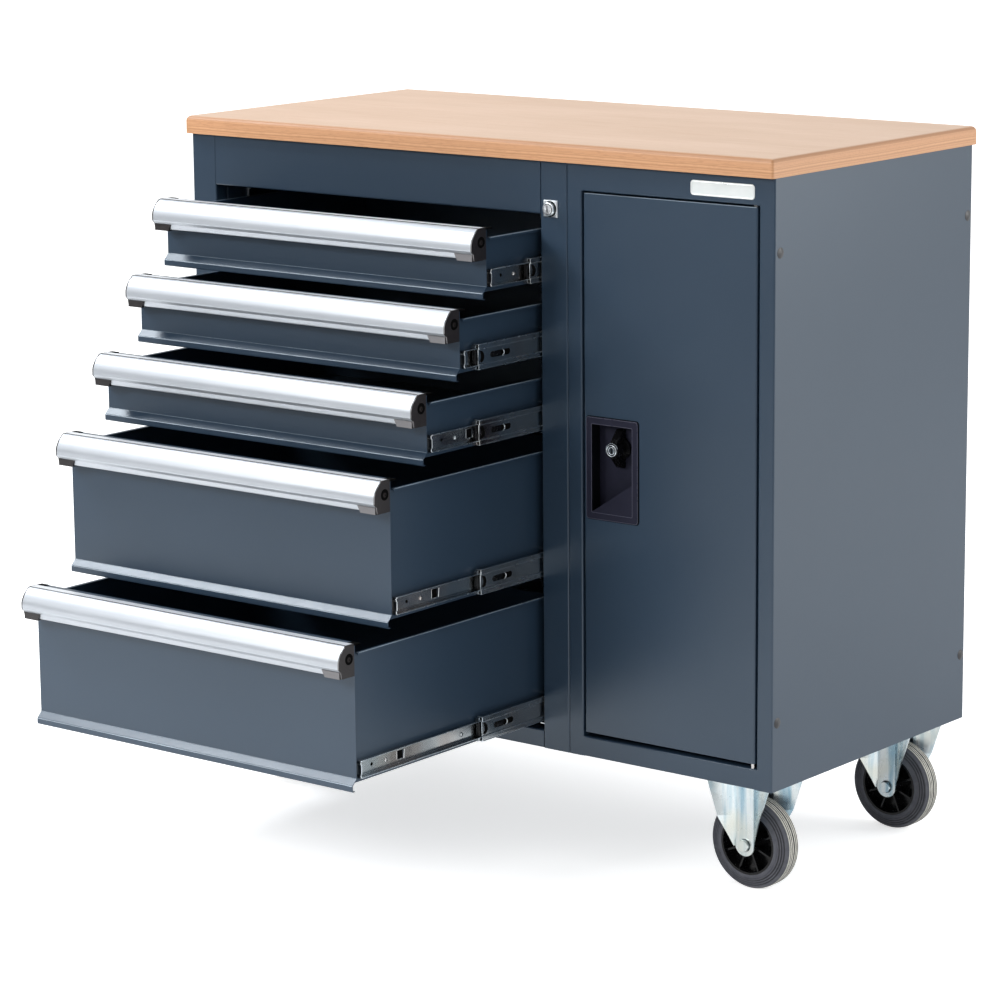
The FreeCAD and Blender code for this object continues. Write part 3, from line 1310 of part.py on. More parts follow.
def nodes():
    made = {
        "worktop": [worktop()],
        "left_side_panel": [left_side_panel()],
        "right_side_panel": [right_side_panel()],
        "drawer_module_wall": [drawer_module_wall()],
        "door_module_wall": [door_module_wall()],
        "front_rails": front_rails(),
        "back_panels": back_panels(),
        "floor_panels": floor_panels(),
        "slide_uprights": slide_uprights(),
        "shelf": shelf(),
        "side_plugs": side_plugs(),
        "cabinet_slides": cabinet_slides(),
        "hinge_pins": hinge_pins(),
        "lock_body": [lock_body()],
        "lock_plug": [lock_plug()],
        "lock_bar": [lock_bar()],
        "door_panel": [door_panel()],
        "door_tray": [door_tray()],
        "door_knob": [door_knob()],
        "door_key_cylinder": [door_key_cylinder()],
        "door_latch": [door_latch()],
        "castor_mounts": castor_mounts(),
        "carcass_bolts": carcass_bolts(),
    }
    for index in range(len(DRAWER_UNITS)):
        number = index + 1
        made[f"drawer_body_{number}"] = [drawer_body(index)]
        made[f"drawer_grip_{number}"] = [drawer_grip(index)]
        made[f"grip_caps_{number}"] = grip_caps(index)
        made[f"mid_slides_{number}"] = mid_slides(index)
        made[f"drawer_slides_{number}"] = drawer_slides(index)
    for name, y, way in (("left_front", CASTOR_FRONT_Y, 1), ("left_rear", CASTOR_REAR_Y, -1)):
        made[f"swivel_fork_{name}"] = swivel_fork(SWIVEL_X, y, way)
        made[f"brake_pedal_{name}"] = [brake_pedal(SWIVEL_X, y, way)]
    for name, x, y, along in wheels():
        made[f"tyre_{name}"] = [tyre(x, y, along)]
        made[f"wheel_rim_{name}"] = [wheel_rim(x, y, along)]
    return made


def main():
    os.makedirs("parts", exist_ok=True)
    for name, solids in nodes().items():
        shape = solids[0] if len(solids) == 1 else Part.makeCompound(solids)
        shape = shape.copy()
        shape.translate(point(0, -MIDDLE_OF_DEPTH, 0))
        shape.exportStep(f"parts/{name}.step")


main()
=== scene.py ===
import math

import bmesh
import bpy
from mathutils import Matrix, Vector


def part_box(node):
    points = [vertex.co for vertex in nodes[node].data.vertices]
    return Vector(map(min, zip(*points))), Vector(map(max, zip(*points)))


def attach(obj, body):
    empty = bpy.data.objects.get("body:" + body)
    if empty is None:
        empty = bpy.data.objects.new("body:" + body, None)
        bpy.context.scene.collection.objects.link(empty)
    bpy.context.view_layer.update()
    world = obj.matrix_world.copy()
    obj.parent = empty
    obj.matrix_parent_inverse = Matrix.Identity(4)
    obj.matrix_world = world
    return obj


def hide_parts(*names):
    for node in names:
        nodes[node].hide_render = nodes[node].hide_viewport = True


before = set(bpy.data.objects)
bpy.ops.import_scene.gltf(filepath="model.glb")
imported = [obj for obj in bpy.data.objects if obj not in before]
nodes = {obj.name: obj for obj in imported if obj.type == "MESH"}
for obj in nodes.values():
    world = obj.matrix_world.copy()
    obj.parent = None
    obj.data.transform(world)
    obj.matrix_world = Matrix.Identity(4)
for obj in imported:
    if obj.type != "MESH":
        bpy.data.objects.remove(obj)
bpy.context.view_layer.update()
DRAWERS = range(1, 6)
MM = 0.001

# Camera, as the photograph was taken
CAMERA_PLACE = (3.08308, -3.85293, 1.49661)
CAMERA_TURN = (78.3451, 0.4993, 38.3172)
CAMERA_LENS = 132.07
SENSOR_WIDTH = 36.0

# Stage, in metres: the floor, its glow, and the world, which is brightest towards one side
FLOOR_HALF = 30.0
FLOOR_GLOW = 0.62
FLOOR_SHADE = (-3.2, -1.3, 0.12, 0.9)
GLOSSY_GLOW = 0.35
WORLD_FRONT = 0.30
WORLD_BACK = 1.15
WORLD_COLOR = (0.97, 0.99, 1.0)
BRIGHT_SIDE = (0.60, 0.72, 0.35)
WHITE = (1.0, 1.0, 1.0)

# Lamps: name, place, target, width, height, level and colour
LAMPS = (
    ("key", (-2.80, -1.20, 3.3), (0.0, -0.2, 0.5), 1.1, 1.0, 26.0, (0.92, 0.955, 1.0)),
    ("front", (-1.4, -3.7, 2.4), (0.0, 0.0, 0.5), 1.6, 1.2, 18.0, WHITE),
    ("right", (3.2, 2.3, 1.3), (0.5, 0.2, 0.5), 1.8, 1.8, 4.3, WHITE),
)


def make_camera():
    data = bpy.data.cameras.new("camera")
    data.lens = CAMERA_LENS
    data.sensor_width = SENSOR_WIDTH
    data.clip_start = 0.05
    data.clip_end = 60.0
    camera = bpy.data.objects.new("camera", data)
    camera.location = CAMERA_PLACE
    camera.rotation_euler = [math.radians(a) for a in CAMERA_TURN]
    bpy.context.scene.collection.objects.link(camera)
    bpy.context.scene.camera = camera


# Materials. Lengths are in metres here.


class Nodes:
    """A short way to write a node tree."""

    def __init__(self, tree):
        self.tree = tree
        self.tree.nodes.clear()

    def add(self, kind, **settings):
        node = self.tree.nodes.new(kind)
        for key, value in settings.items():
            setattr(node, key, value)
        return node

    def link(self, source, target):
        self.tree.links.new(source, target)

    def feed(self, socket, value):
        """Gives a socket a number, a colour or another socket."""
        if isinstance(value, (int, float)):
            socket.default_value = value
        elif isinstance(value, tuple):
            socket.default_value = (*value, 1.0)
        else:
            self.link(value, socket)

    def position(self, scale=(1.0, 1.0, 1.0)):
        """The object's own coordinates, stretched by scale."""
        place = self.add("ShaderNodeTexCoord")
        mapping = self.add("ShaderNodeMapping")
        mapping.inputs["Scale"].default_value = scale
        self.link(place.outputs["Object"], mapping.inputs["Vector"])
        return mapping.outputs["Vector"]

    def axes(self, vector):
        parts = self.add("ShaderNodeSeparateXYZ")
        self.link(vector, parts.inputs["Vector"])
        return parts.outputs

    def normal(self):
        return self.axes(self.add("ShaderNodeNewGeometry").outputs["Normal"])

    def noise(self, size, detail=3.0, roughness=0.5, stretch=(1.0, 1.0, 1.0)):
        """Noise whose features are about size across."""
        node = self.add("ShaderNodeTexNoise")
        node.inputs["Scale"].default_value = 1.0 / size
        node.inputs["Detail"].default_value = detail
        node.inputs["Roughness"].default_value = roughness
        self.link(self.position(stretch), node.inputs["Vector"])
        return node.outputs["Fac"]

    def span(self, value, low, high, out_low, out_high):
        """value from low..high turned into out_low..out_high, clamped."""
        node = self.add("ShaderNodeMapRange")
        node.inputs["From Min"].default_value = low
        node.inputs["From Max"].default_value = high
        node.inputs["To Min"].default_value = out_low
        node.inputs["To Max"].default_value = out_high
        self.link(value, node.inputs["Value"])
        return node.outputs["Result"]

    def spread(self, noise, low, high):
        """Noise, most of which lies in 0.3..0.7, turned into low..high."""
        return self.span(noise, 0.3, 0.7, low, high)

    def ramp(self, value, *stops):
        node = self.add("ShaderNodeValToRGB")
        ramp = node.color_ramp
        while len(ramp.elements) < len(stops):
            ramp.elements.new(0.5)
        for element, (place, color) in zip(ramp.elements, stops):
            element.position = place
            element.color = (*color, 1.0)
        self.link(value, node.inputs["Fac"])
        return node.outputs["Color"]

    def mix(self, factor, a, b):
        node = self.add("ShaderNodeMix", data_type="RGBA")
        self.feed(node.inputs["Factor"], factor)
        self.feed(node.inputs[6], a)
        self.feed(node.inputs[7], b)
        return node.outputs[2]

    def blend(self, value, low, high, a, b, most=1.0):
        """Goes from a to b as value goes from low to high, and has no more of b than most."""
        return self.mix(self.span(value, low, high, 0.0, most), a, b)

    def math(self, operation, a, b):
        node = self.add("ShaderNodeMath", operation=operation)
        self.feed(node.inputs[0], a)
        self.feed(node.inputs[1], b)
        return node.outputs[0]

    def glow(self, strength):
        node = self.add("ShaderNodeEmission")
        self.feed(node.inputs["Strength"], strength)
        return node.outputs["Emission"]

    def both(self, a, b):
        node = self.add("ShaderNodeAddShader")
        self.link(a, node.inputs[0])
        self.link(b, node.inputs[1])
        return node.outputs["Shader"]

    def choose(self, ray, others, chosen):
        """Shows one shader to rays of that kind and the other to the rest."""
        node = self.add("ShaderNodeMixShader")
        self.link(self.add("ShaderNodeLightPath").outputs[ray], node.inputs["Fac"])
        self.link(others, node.inputs[1])
        self.link(chosen, node.inputs[2])
        return node.outputs["Shader"]


class Surface(Nodes):
    """A material and its node tree, with one principled shader."""

    def __init__(self, name):
        self.material = bpy.data.materials.new(name)
        self.material.use_nodes = True
        super().__init__(self.material.node_tree)
        self.out = self.add("ShaderNodeOutputMaterial")
        self.shader = self.add("ShaderNodeBsdfPrincipled")
        self.link(self.shader.outputs["BSDF"], self.out.inputs["Surface"])

    def set(self, **values):
        for key, value in values.items():
            self.shader.inputs[key.replace("_", " ")].default_value = value

    def bump(self, height, distance, strength):
        node = self.add("ShaderNodeBump")
        node.inputs["Strength"].default_value = strength
        node.inputs["Distance"].default_value = distance
        self.link(height, node.inputs["Height"])
        self.link(node.outputs["Normal"], self.shader.inputs["Normal"])

    def color(self, value):
        self.link(value, self.shader.inputs["Base Color"])

    def roughness(self, value):
        self.link(value, self.shader.inputs["Roughness"])


def powder_coat():
    """Satin blue-grey powder coat: a faint orange peel and slow changes of tone and gloss."""
    m = Surface("powder_coat")
    tone = m.blend(m.noise(0.35), 0.35, 0.65, (0.0185, 0.0355, 0.0605), (0.0212, 0.0395, 0.0665))
    m.color(m.blend(m.noise(0.0012, 2.0), 0.55, 0.75, tone, (0.05, 0.07, 0.095), most=0.12))
    m.roughness(m.spread(m.noise(0.02, 4.0), 0.31, 0.335))
    m.bump(m.noise(0.0016, 2.0), 0.00004, 0.3)
    m.set(IOR=1.55, Specular_Tint=(0.90, 0.96, 1.0, 1.0))
    return m.material


def aluminium():
    """Satin anodised extrusion with faint drawing lines along its length, and a painted highlight that
    makes its upward faces near white.
    """
    m = Surface("aluminium")
    lines = m.noise(0.0009, 3.0, 0.6, (0.004, 1.0, 1.0))
    tone = m.blend(m.noise(0.15, 2.0), 0.3, 0.7, (0.44, 0.465, 0.50), (0.48, 0.505, 0.54))
    # Painted highlight: upward faces are painted near white.
    m.color(m.blend(m.normal()["Z"], 0.9, 0.99, tone, (0.90, 0.92, 0.95)))
    m.roughness(m.spread(lines, 0.34, 0.44))
    m.bump(lines, 0.00003, 0.4)
    m.set(Metallic=0.55)
    return m.material


def black_plastic(name, tone, gloss, grain, shine=0.5):
    """Moulded black plastic with a fine grain."""
    m = Surface(name)
    m.color(m.blend(m.noise(0.03), 0.3, 0.7, tone, tuple(c * 1.35 for c in tone)))
    m.roughness(m.spread(m.noise(0.004), gloss - 0.05, gloss + 0.05))
    m.bump(m.noise(grain, 2.0), 0.00006, 0.4)
    m.set(Specular_IOR_Level=shine)
    return m.material


def cap_plastic():
    """The end caps' brownish plastic with a coarse grain. The fronts of the right caps are painted paler,
    a painted highlight.
    """
    m = Surface("cap_plastic")
    grain = m.noise(0.0016)
    side = m.blend(m.noise(0.02, 2.0), 0.3, 0.7, (0.011, 0.0085, 0.0090), (0.017, 0.0135, 0.0140))
    side = m.blend(grain, 0.55, 0.75, side, (0.05, 0.043, 0.045), most=0.5)
    # Painted highlight: front faces at the right end are painted paler.
    lit_front_mask = m.span(m.normal()["Y"], -0.88, -0.95, 0.0, 1.0)
    right_end = m.span(m.axes(m.position())["X"], -0.2, 0.0, 0.0, 1.0)
    m.color(m.mix(m.math("MULTIPLY", lit_front_mask, right_end), side, (0.17, 0.165, 0.17)))
    m.roughness(m.spread(grain, 0.30, 0.42))
    m.bump(grain, 0.0001, 0.4)
    m.set(Specular_IOR_Level=0.45)
    return m.material


def tray_plastic():
    """Matt black plastic. Its upward sloping floor is painted paler in patches as painted light, and its
    left wall is painted near black as painted shade.
    """
    m = Surface("tray_plastic")
    cloud = m.noise(0.012, 5.0, 0.65)
    deep = m.blend(cloud, 0.3, 0.7, (0.0105, 0.0105, 0.0200), (0.0140, 0.0135, 0.0250))
    painted_light_patches = m.blend(cloud, 0.4, 0.68, (0.022, 0.022, 0.037), (0.055, 0.055, 0.080))
    facing = m.normal()
    # Painted light: upward faces of the sloping floor take the paler patches.
    tone = m.blend(facing["Z"], 0.1, 0.3, deep, painted_light_patches)
    # Painted shade: faces turned to +x, the recess's left wall, are painted near black.
    m.color(m.blend(facing["X"], 0.3, 0.7, tone, (0.0006, 0.0006, 0.001)))
    m.roughness(m.spread(m.noise(0.004), 0.42, 0.54))
    m.bump(m.noise(0.0007, 2.0), 0.00006, 0.4)
    m.set(Specular_IOR_Level=0.28, Specular_Tint=(0.75, 0.8, 1.0, 1.0))
    return m.material


def zinc(name, low, middle, high, gloss):
    """Bright zinc plating: a slow drift between three tones, and fine rolling lines."""
    m = Surface(name)
    patches = m.noise(0.06, 1.0, 0.4, (1.0, 1.0, 0.5))
    m.color(m.ramp(patches, (0.30, low), (0.50, middle), (0.70, high)))
    m.roughness(m.spread(m.noise(0.03, 2.0), gloss - 0.04, gloss + 0.04))
    m.bump(m.noise(0.0012, 2.0, 0.5, (1.0, 0.03, 1.0)), 0.00002, 0.2)
    m.set(Metallic=1.0)
    return m.material


def pressed_zinc():
    """Zinc-plated pressings: upright bands from blue to pale, which are painted reflections, and broad
    straw patches of the plating's tint.
    """
    m = Surface("pressed_zinc")
    # Painted reflections: upright bands from blue to pale.
    reflection_bands = m.noise(0.011, 2.0, 0.6, (1.0, 1.0, 0.07))
    blue, middle, pale = (0.26, 0.40, 0.49), (0.47, 0.58, 0.63), (0.66, 0.71, 0.72)
    painted_reflection = m.ramp(reflection_bands, (0.30, blue), (0.46, middle), (0.60, pale))
    m.color(m.blend(m.noise(0.05, 1.0), 0.48, 0.72, painted_reflection, (0.62, 0.62, 0.54), most=0.7))
    m.roughness(m.spread(m.noise(0.03, 2.0), 0.22, 0.32))
    m.bump(m.noise(0.0012, 2.0, 0.5, (1.0, 1.0, 0.04)), 0.00002, 0.2)
    m.set(Metallic=1.0)
    return m.material


def painted_line(name, tone):
    """A plain line of painted light, darker in places: painted highlights along bends and rims, and
    painted shade along grooves.
    """
    m = Surface(name)
    m.color(m.blend(m.noise(0.08, 2.0), 0.35, 0.65, tuple(c * 0.6 for c in tone), tone))
    m.roughness(m.spread(m.noise(0.01, 2.0), 0.25, 0.35))
    return m.material


def chrome():
    """Polished nickel chrome with hairline wear."""
    m = Surface("chrome")
    wear = m.noise(0.002, 4.0)
    m.color(m.blend(wear, 0.4, 0.8, (0.86, 0.87, 0.89), (0.70, 0.71, 0.73)))
    m.roughness(m.span(wear, 0.3, 0.8, 0.07, 0.2))
    m.set(Metallic=0.7)
    return m.material


def beech():
    """Oiled beech board: pale top, warmer edges with the lines of its layers, a dark line on the arris."""
    m = Surface("beech")
    grain = m.noise(0.0035, 5.0, 0.65, (0.035, 1.0, 1.0))
    wide = m.noise(0.09, 3.0, 0.5, (0.25, 1.0, 1.0))
    flecks = m.noise(0.0022, 2.0, 0.5, (0.18, 1.0, 1.0))
    top = m.blend(wide, 0.35, 0.65, (0.59, 0.405, 0.285), (0.64, 0.45, 0.33))
    top = m.blend(grain, 0.45, 0.75, top, (0.52, 0.33, 0.21), most=0.35)
    top = m.blend(flecks, 0.62, 0.75, top, (0.46, 0.28, 0.17), most=0.4)
    height = m.axes(m.position())["Z"]
    layers = m.add("ShaderNodeTexNoise", noise_dimensions="1D")
    layers.inputs["Scale"].default_value = 420.0
    layers.inputs["Detail"].default_value = 3.0
    m.link(m.math("ADD", height, m.math("MULTIPLY", m.noise(0.25), 0.006)), layers.inputs["W"])
    dark, middle, pale = (0.44, 0.215, 0.097), (0.545, 0.277, 0.136), (0.61, 0.33, 0.172)
    edge = m.ramp(layers.outputs["Fac"], (0.30, dark), (0.50, middle), (0.70, pale))
    edge = m.blend(flecks, 0.5, 0.72, edge, (0.38, 0.18, 0.08), most=0.4)
    edge = m.blend(height, 0.9775, 0.980, edge, (0.30, 0.14, 0.06), most=0.55)
    m.color(m.blend(m.normal()["Z"], 0.80, 0.99, edge, top))
    m.roughness(m.spread(grain, 0.42, 0.56))
    m.bump(grain, 0.0001, 0.25)
    return m.material


def rubber(name, tone, dusty):
    """Dull rubber that is dusty in patches."""
    m = Surface(name)
    m.color(m.blend(m.noise(0.01, 4.0), 0.4, 0.75, tone, dusty))
    m.roughness(m.spread(m.noise(0.003), 0.5, 0.66))
    m.bump(m.noise(0.0008, 2.0), 0.00006, 0.4)
    return m.material


def enamel():
    """The blank plate's off-white enamel."""
    m = Surface("enamel")
    m.color(m.blend(m.noise(0.03), 0.3, 0.7, (0.66, 0.70, 0.69), (0.74, 0.77, 0.76)))
    m.roughness(m.spread(m.noise(0.01), 0.3, 0.4))
    m.bump(m.noise(0.001, 2.0), 0.00003, 0.3)
    return m.material


COAT = powder_coat()
PLASTIC = black_plastic("black_plastic", (0.008, 0.008, 0.010), 0.38, 0.0007)
GLOSS_BLACK = black_plastic("gloss_black", (0.0025, 0.0025, 0.003), 0.24, 0.001, 0.3)
MATT_BLACK = black_plastic("matt_black", (0.002, 0.002, 0.002), 0.8, 0.0006, 0.03)
CAP_PLASTIC = cap_plastic()
SCREW_BLACK = black_plastic("screw_black", (0.008, 0.006, 0.006), 0.5, 0.001, 0.15)
SLIDE_ZINC = zinc("slide_zinc", (0.38, 0.43, 0.46), (0.46, 0.48, 0.49), (0.46, 0.42, 0.40), 0.20)
FORK_ZINC = pressed_zinc()
BRIGHT_ZINC = zinc("bright_zinc", (0.80, 0.86, 0.90), (0.86, 0.89, 0.92), (0.90, 0.90, 0.90), 0.3)
# A lighter copy of the zinc, for beads of painted highlight.
HIGHLIGHT_ZINC = zinc("highlight_zinc", (0.54, 0.61, 0.67), (0.66, 0.71, 0.75), (0.80, 0.82, 0.83), 0.26)
# A darker copy of the zinc, as painted shade: the slide noses and the rings round the axle bolts.
SHADE_ZINC = zinc("shade_zinc", (0.07, 0.08, 0.09), (0.10, 0.11, 0.12), (0.13, 0.13, 0.13), 0.35)
CHROME = chrome()
# Lines of painted light: highlights along bends and the tray's rim, and painted shade in the grip's
# grooves.
BEND_BRIGHT = painted_line("bend_bright", (0.60, 0.70, 0.80))
BEND_SOFT = painted_line("bend_soft", (0.24, 0.30, 0.36))
TRAY_RIM_HIGHLIGHT = painted_line("tray_rim_highlight", (0.075, 0.075, 0.115))
GRIP_GROOVE_SHADE = painted_line("grip_groove_shade", (0.05, 0.05, 0.055))
RUBBER = rubber("tyre_rubber", (0.062, 0.064, 0.080), (0.088, 0.091, 0.106))
# Rubber darkened as painted shade, for the grooves between the flank's ridges.
GROOVE = rubber("groove_shade_rubber", (0.016, 0.016, 0.020), (0.028, 0.028, 0.034))
TREAD = rubber("tread_rubber", (0.44, 0.43, 0.38), (0.60, 0.58, 0.52))


def paint(material, *names):
    """Gives CAD nodes their material."""
    for name in names:
        slots = nodes[name].data.materials
        slots.clear()
        slots.append(material)


def dress_cad_nodes():
    paint(beech(), "worktop")
    paint(
        COAT, "left_side_panel", "right_side_panel", "drawer_module_wall", "door_module_wall",
        "front_rails", "back_panels", "floor_panels", "shelf", "slide_uprights", "door_panel",
        *[f"drawer_body_{n}" for n in DRAWERS],
    )
    paint(PLASTIC, "side_plugs", "brake_pedal_left_front", "brake_pedal_left_rear")
    paint(tray_plastic(), "door_tray")
    paint(GLOSS_BLACK, "door_knob", *[name for name in nodes if name.startswith("wheel_rim_")])
    paint(CAP_PLASTIC, *[f"grip_caps_{n}" for n in DRAWERS])
    paint(
        SLIDE_ZINC, "cabinet_slides", "lock_bar", "door_latch", "hinge_pins", "door_key_cylinder",
        *[f"mid_slides_{n}" for n in DRAWERS], *[f"drawer_slides_{n}" for n in DRAWERS],
    )
    paint(FORK_ZINC, "castor_mounts", "carcass_bolts", "swivel_fork_left_front", "swivel_fork_left_rear")
    paint(BRIGHT_ZINC, "lock_body")
    paint(CHROME, "lock_plug")
    paint(aluminium(), *[f"drawer_grip_{n}" for n in DRAWERS])


# Mesh builders. From here on lengths are in millimetres and places in the row frame; a builder adds
# to a bmesh, which is in metres. A place function turns (u, v, w) into a point.


def build(name, shape, body, slot, *materials, angle=35.0, bevel=0.0):
    """Turns a bmesh into a piece that rides on a body."""
    bmesh.ops.recalc_face_normals(shape, faces=shape.faces)
    mesh = bpy.data.meshes.new(name)
    shape.to_mesh(mesh)
    shape.free()
    for material in materials:
        mesh.materials.append(material)
    for polygon in mesh.polygons:
        polygon.use_smooth = True
    mesh.set_sharp_from_angle(angle=math.radians(angle))
    piece = bpy.data.objects.new(name, mesh)
    bpy.context.scene.collection.objects.link(piece)
    if bevel:
        soften = piece.modifiers.new("soften", "BEVEL")
        soften.width = bevel * MM
        soften.segments = 3
        soften.limit_method = "ANGLE"
        soften.angle_limit = math.radians(40)
    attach(piece, body)
    return piece


def tube(shape, path, radius, closed=False, steps=8):
    """A round bead along a path of points."""
    points = [Vector(p) * MM for p in path]
    count = len(points)
    rings = []
    reference = Vector((0.31, 0.52, 0.79))
    for i, point in enumerate(points):
        before = points[i - 1] if (closed or i) else point
        after = points[(i + 1) % count] if (closed or i < count - 1) else point
        direction = (after - before).normalized()
        side = direction.cross(reference).normalized()
        up = side.cross(direction).normalized()
        ring = []
        for k in range(steps):
            turn = 2 * math.pi * k / steps
            offset = (side * math.cos(turn) + up * math.sin(turn)) * radius * MM
            ring.append(shape.verts.new(point + offset))
        rings.append(ring)
    pairs = list(zip(rings, rings[1:]))
    if closed:
        pairs.append((rings[-1], rings[0]))
    for a, b in pairs:
        for k in range(steps):
            shape.faces.new((a[k], a[(k + 1) % steps], b[(k + 1) % steps], b[k]))
    if not closed:
        shape.faces.new(rings[0][::-1])
        shape.faces.new(rings[-1])


def bead(shape, outline, height, radius, place, closed=False):
    """A round bead along an outline of (u, v), at one height."""
    tube(shape, [place(u, v, height) for u, v in outline], radius, closed)


def line(shape, start, end, radius):
    """A straight bead in three stretches."""
    a, b = Vector(start), Vector(end)
    tube(shape, [a.lerp(b, t) for t in (0.0, 0.35, 0.7, 1.0)], radius, steps=6)


def slab(shape, outline, low, high, place):
    """An outline of (u, v) made solid from low to high."""
    bottom = [shape.verts.new(Vector(place(u, v, low)) * MM) for u, v in outline]
    top = [shape.verts.new(Vector(place(u, v, high)) * MM) for u, v in outline]
    count = len(outline)
    for k in range(count):
        shape.faces.new((bottom[k], bottom[(k + 1) % count], top[(k + 1) % count], top[k]))
    shape.faces.new(bottom[::-1])
    shape.faces.new(top)


def lathe(shape, profile, place, steps, closed=False, index=lambda radius: 0):
    """A profile of (radius, height) turned about the w axis; index gives a face's material."""
    rings = []
    for radius, height in profile:
        if radius == 0.0:
            rings.append([shape.verts.new(Vector(place(0.0, 0.0, height)) * MM)])
            continue
        ring = []
        for k in range(steps):
            turn = 2 * math.pi * k / steps
            spot = place(radius * math.cos(turn), radius * math.sin(turn), height)
            ring.append(shape.verts.new(Vector(spot) * MM))
        rings.append(ring)
    pairs = list(zip(range(len(rings)), range(1, len(rings))))
    if closed:
        pairs.append((len(rings) - 1, 0))
    for i, j in pairs:
        a, b = rings[i], rings[j]
        for k in range(steps):
            n = (k + 1) % steps
            corners = [a[k % len(a)], a[n % len(a)], b[n % len(b)], b[k % len(b)]]
            face = shape.faces.new(list(dict.fromkeys(corners)))
            face.material_index = index((profile[i][0] + profile[j][0]) / 2)


def flat_ring(shape, inner, outer, height, place):
    """A flat ring that stands on the plane w = 0."""
    lathe(shape, [(inner, -0.2), (inner, height), (outer, height), (outer, -0.2)], place, 48, True)


def arc(cx, cy, radius, start, end, count=6):
    """Points of an arc, in degrees."""
    angles = [math.radians(start + (end - start) * k / count) for k in range(count + 1)]
    return [(cx + radius * math.cos(a), cy + radius * math.sin(a)) for a in angles]


def rounded(u0, u1, v0, v1, radius, count=6):
    """A rectangle with round corners."""
    points = arc(u1 - radius, v1 - radius, radius, 0, 90, count)
    points += arc(u0 + radius, v1 - radius, radius, 90, 180, count)
    points += arc(u0 + radius, v0 + radius, radius, 180, 270, count)
    return points + arc(u1 - radius, v0 + radius, radius, 270, 360, count)


def front_place(x, y, z):
    """A place function about a point of a front: u to the right, v up, w out of the front."""
    return lambda u, v, w: (x + u, y - w, z + v)


def in_mm(box):
    """Both corners of a box, in millimetres."""
    return [[value * 1000 for value in corner] for corner in box]


def middle_and_front(box):
    """x and z of a box's middle, and y of its front."""
    low, high = in_mm(box)
    return (low[0] + high[0]) / 2, (low[2] + high[2]) / 2, low[1]


# Drawers. Side 1 is the right one and side -1 the left one.

DRAWER_ENDS = {1: 120.0, -1: -450.0}
LIP_OUT = 8.0
LIP_BELOW = 16.5


def drawer_places(n):
    """The drawer's face plane, and the bottom and top of its face. Its lip stands out below."""
    low, high = in_mm(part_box(f"drawer_body_{n}"))
    return low[1] + LIP_OUT, low[2] + LIP_BELOW, high[2]


# Slides: the faces that they are screwed to, and their front and middle from the drawer's face and
# bottom. Outlines are (along the slide, up), and heights stand out from the mount.
SLIDE_MOUNTS = {1: 126.0, -1: -456.0}
SLIDE_SET_BACK = 6.0
SLIDE_CENTRE = 11.0
MEMBER_LENGTH = 392.0
MEMBER_HALF = 11.25
RIM_HEIGHT = 3.9
NOSE_AT = 0.5
NOSE_CORNER = 3.4
NOSE_WAIST = [(1.2, 6.6), (2.2, 5.6), (2.2, -5.6), (1.2, -6.6)]
NOSE_INSIDE = (1.7, 0.72, 0.9)
NOSE_HEIGHTS = (4.2, 11.8)
WEB = 11.5
WINDOW = rounded(81.6, 95.4, -6.4, 6.4, 1.0, 3)
WINDOW_FOLD = [(88.0, -6.2), (95.0, -6.0), (95.6, 6.0)]
WINDOW_DARK = rounded(82.4, 93.4, -5.6, 5.6, 0.8, 3)
SCREWS_AT = (59.0, 215.0)
SCREW_DROP = 1.2
SCREW = [(0.0, 0.6), (1.1, 0.6), (1.4, 1.7), (2.2, 1.5), (2.9, 0.9), (3.1, 0.0)]
HOLE_AT = 31.0
HOLE = [(0.0, 0.03), (2.0, 0.03), (2.3, 0.02)]


def slide_place(side, front, middle):
    return lambda u, v, w: (SLIDE_MOUNTS[side] - side * w, front + u, middle + v)


def drawer_member_trim(n):
    """Beads of painted highlight along the rims, the folded nose in shade-darkened zinc as painted shade,
    screws, and matt black discs of painted shade in the punched holes of a drawer's own slide members.
    """
    face, bottom, _ = drawer_places(n)
    turn = NOSE_AT + NOSE_CORNER
    nose = arc(turn, MEMBER_HALF - NOSE_CORNER, NOSE_CORNER, 90, 180) + NOSE_WAIST
    nose += arc(turn, NOSE_CORNER - MEMBER_HALF, NOSE_CORNER, 180, 270)
    rim = [(MEMBER_LENGTH, MEMBER_HALF), *nose, (MEMBER_LENGTH, -MEMBER_HALF)]
    start, along, across = NOSE_INSIDE
    inside = [(start + (y - NOSE_AT) * along, z * across) for y, z in nose[::-1]]
    rim_highlights, noses, screws, hole_shades = (bmesh.new() for _ in range(4))
    for side in SLIDE_MOUNTS:
        spot = slide_place(side, face + SLIDE_SET_BACK, bottom + SLIDE_CENTRE)
        # Beads of painted highlight along the member's rim, its window and the window's fold.
        bead(rim_highlights, rim, RIM_HEIGHT, 0.7, spot)
        # The folded nose, in the shade-darkened zinc as painted shade.
        slab(noses, nose + inside, *NOSE_HEIGHTS, spot)
        bead(rim_highlights, WINDOW, WEB, 0.3, spot, closed=True)
        bead(rim_highlights, WINDOW_FOLD, 11.0, 0.85, spot)
        # Painted shade: a matt black backing in the punched window, and matt black discs in the holes
        # below.
        slab(hole_shades, WINDOW_DARK, 12.0, 12.6, spot)
        for distance in SCREWS_AT:
            lathe(screws, SCREW, lambda u, v, w: spot(distance + u, v - SCREW_DROP, WEB - w), 24)
        lathe(hole_shades, HOLE, lambda u, v, w: spot(HOLE_AT + u, v, WEB - w), 20)
    build(f"slide_rims_{n}", rim_highlights, f"drawer_{n}", "zinc_steel", HIGHLIGHT_ZINC)
    build(f"slide_noses_{n}", noses, f"drawer_{n}", "zinc_steel", SHADE_ZINC)
    build(f"slide_screws_{n}", screws, f"drawer_{n}", "zinc_steel", SLIDE_ZINC)
    build(f"slide_holes_{n}", hole_shades, f"drawer_{n}", "black_plastic", MATT_BLACK)


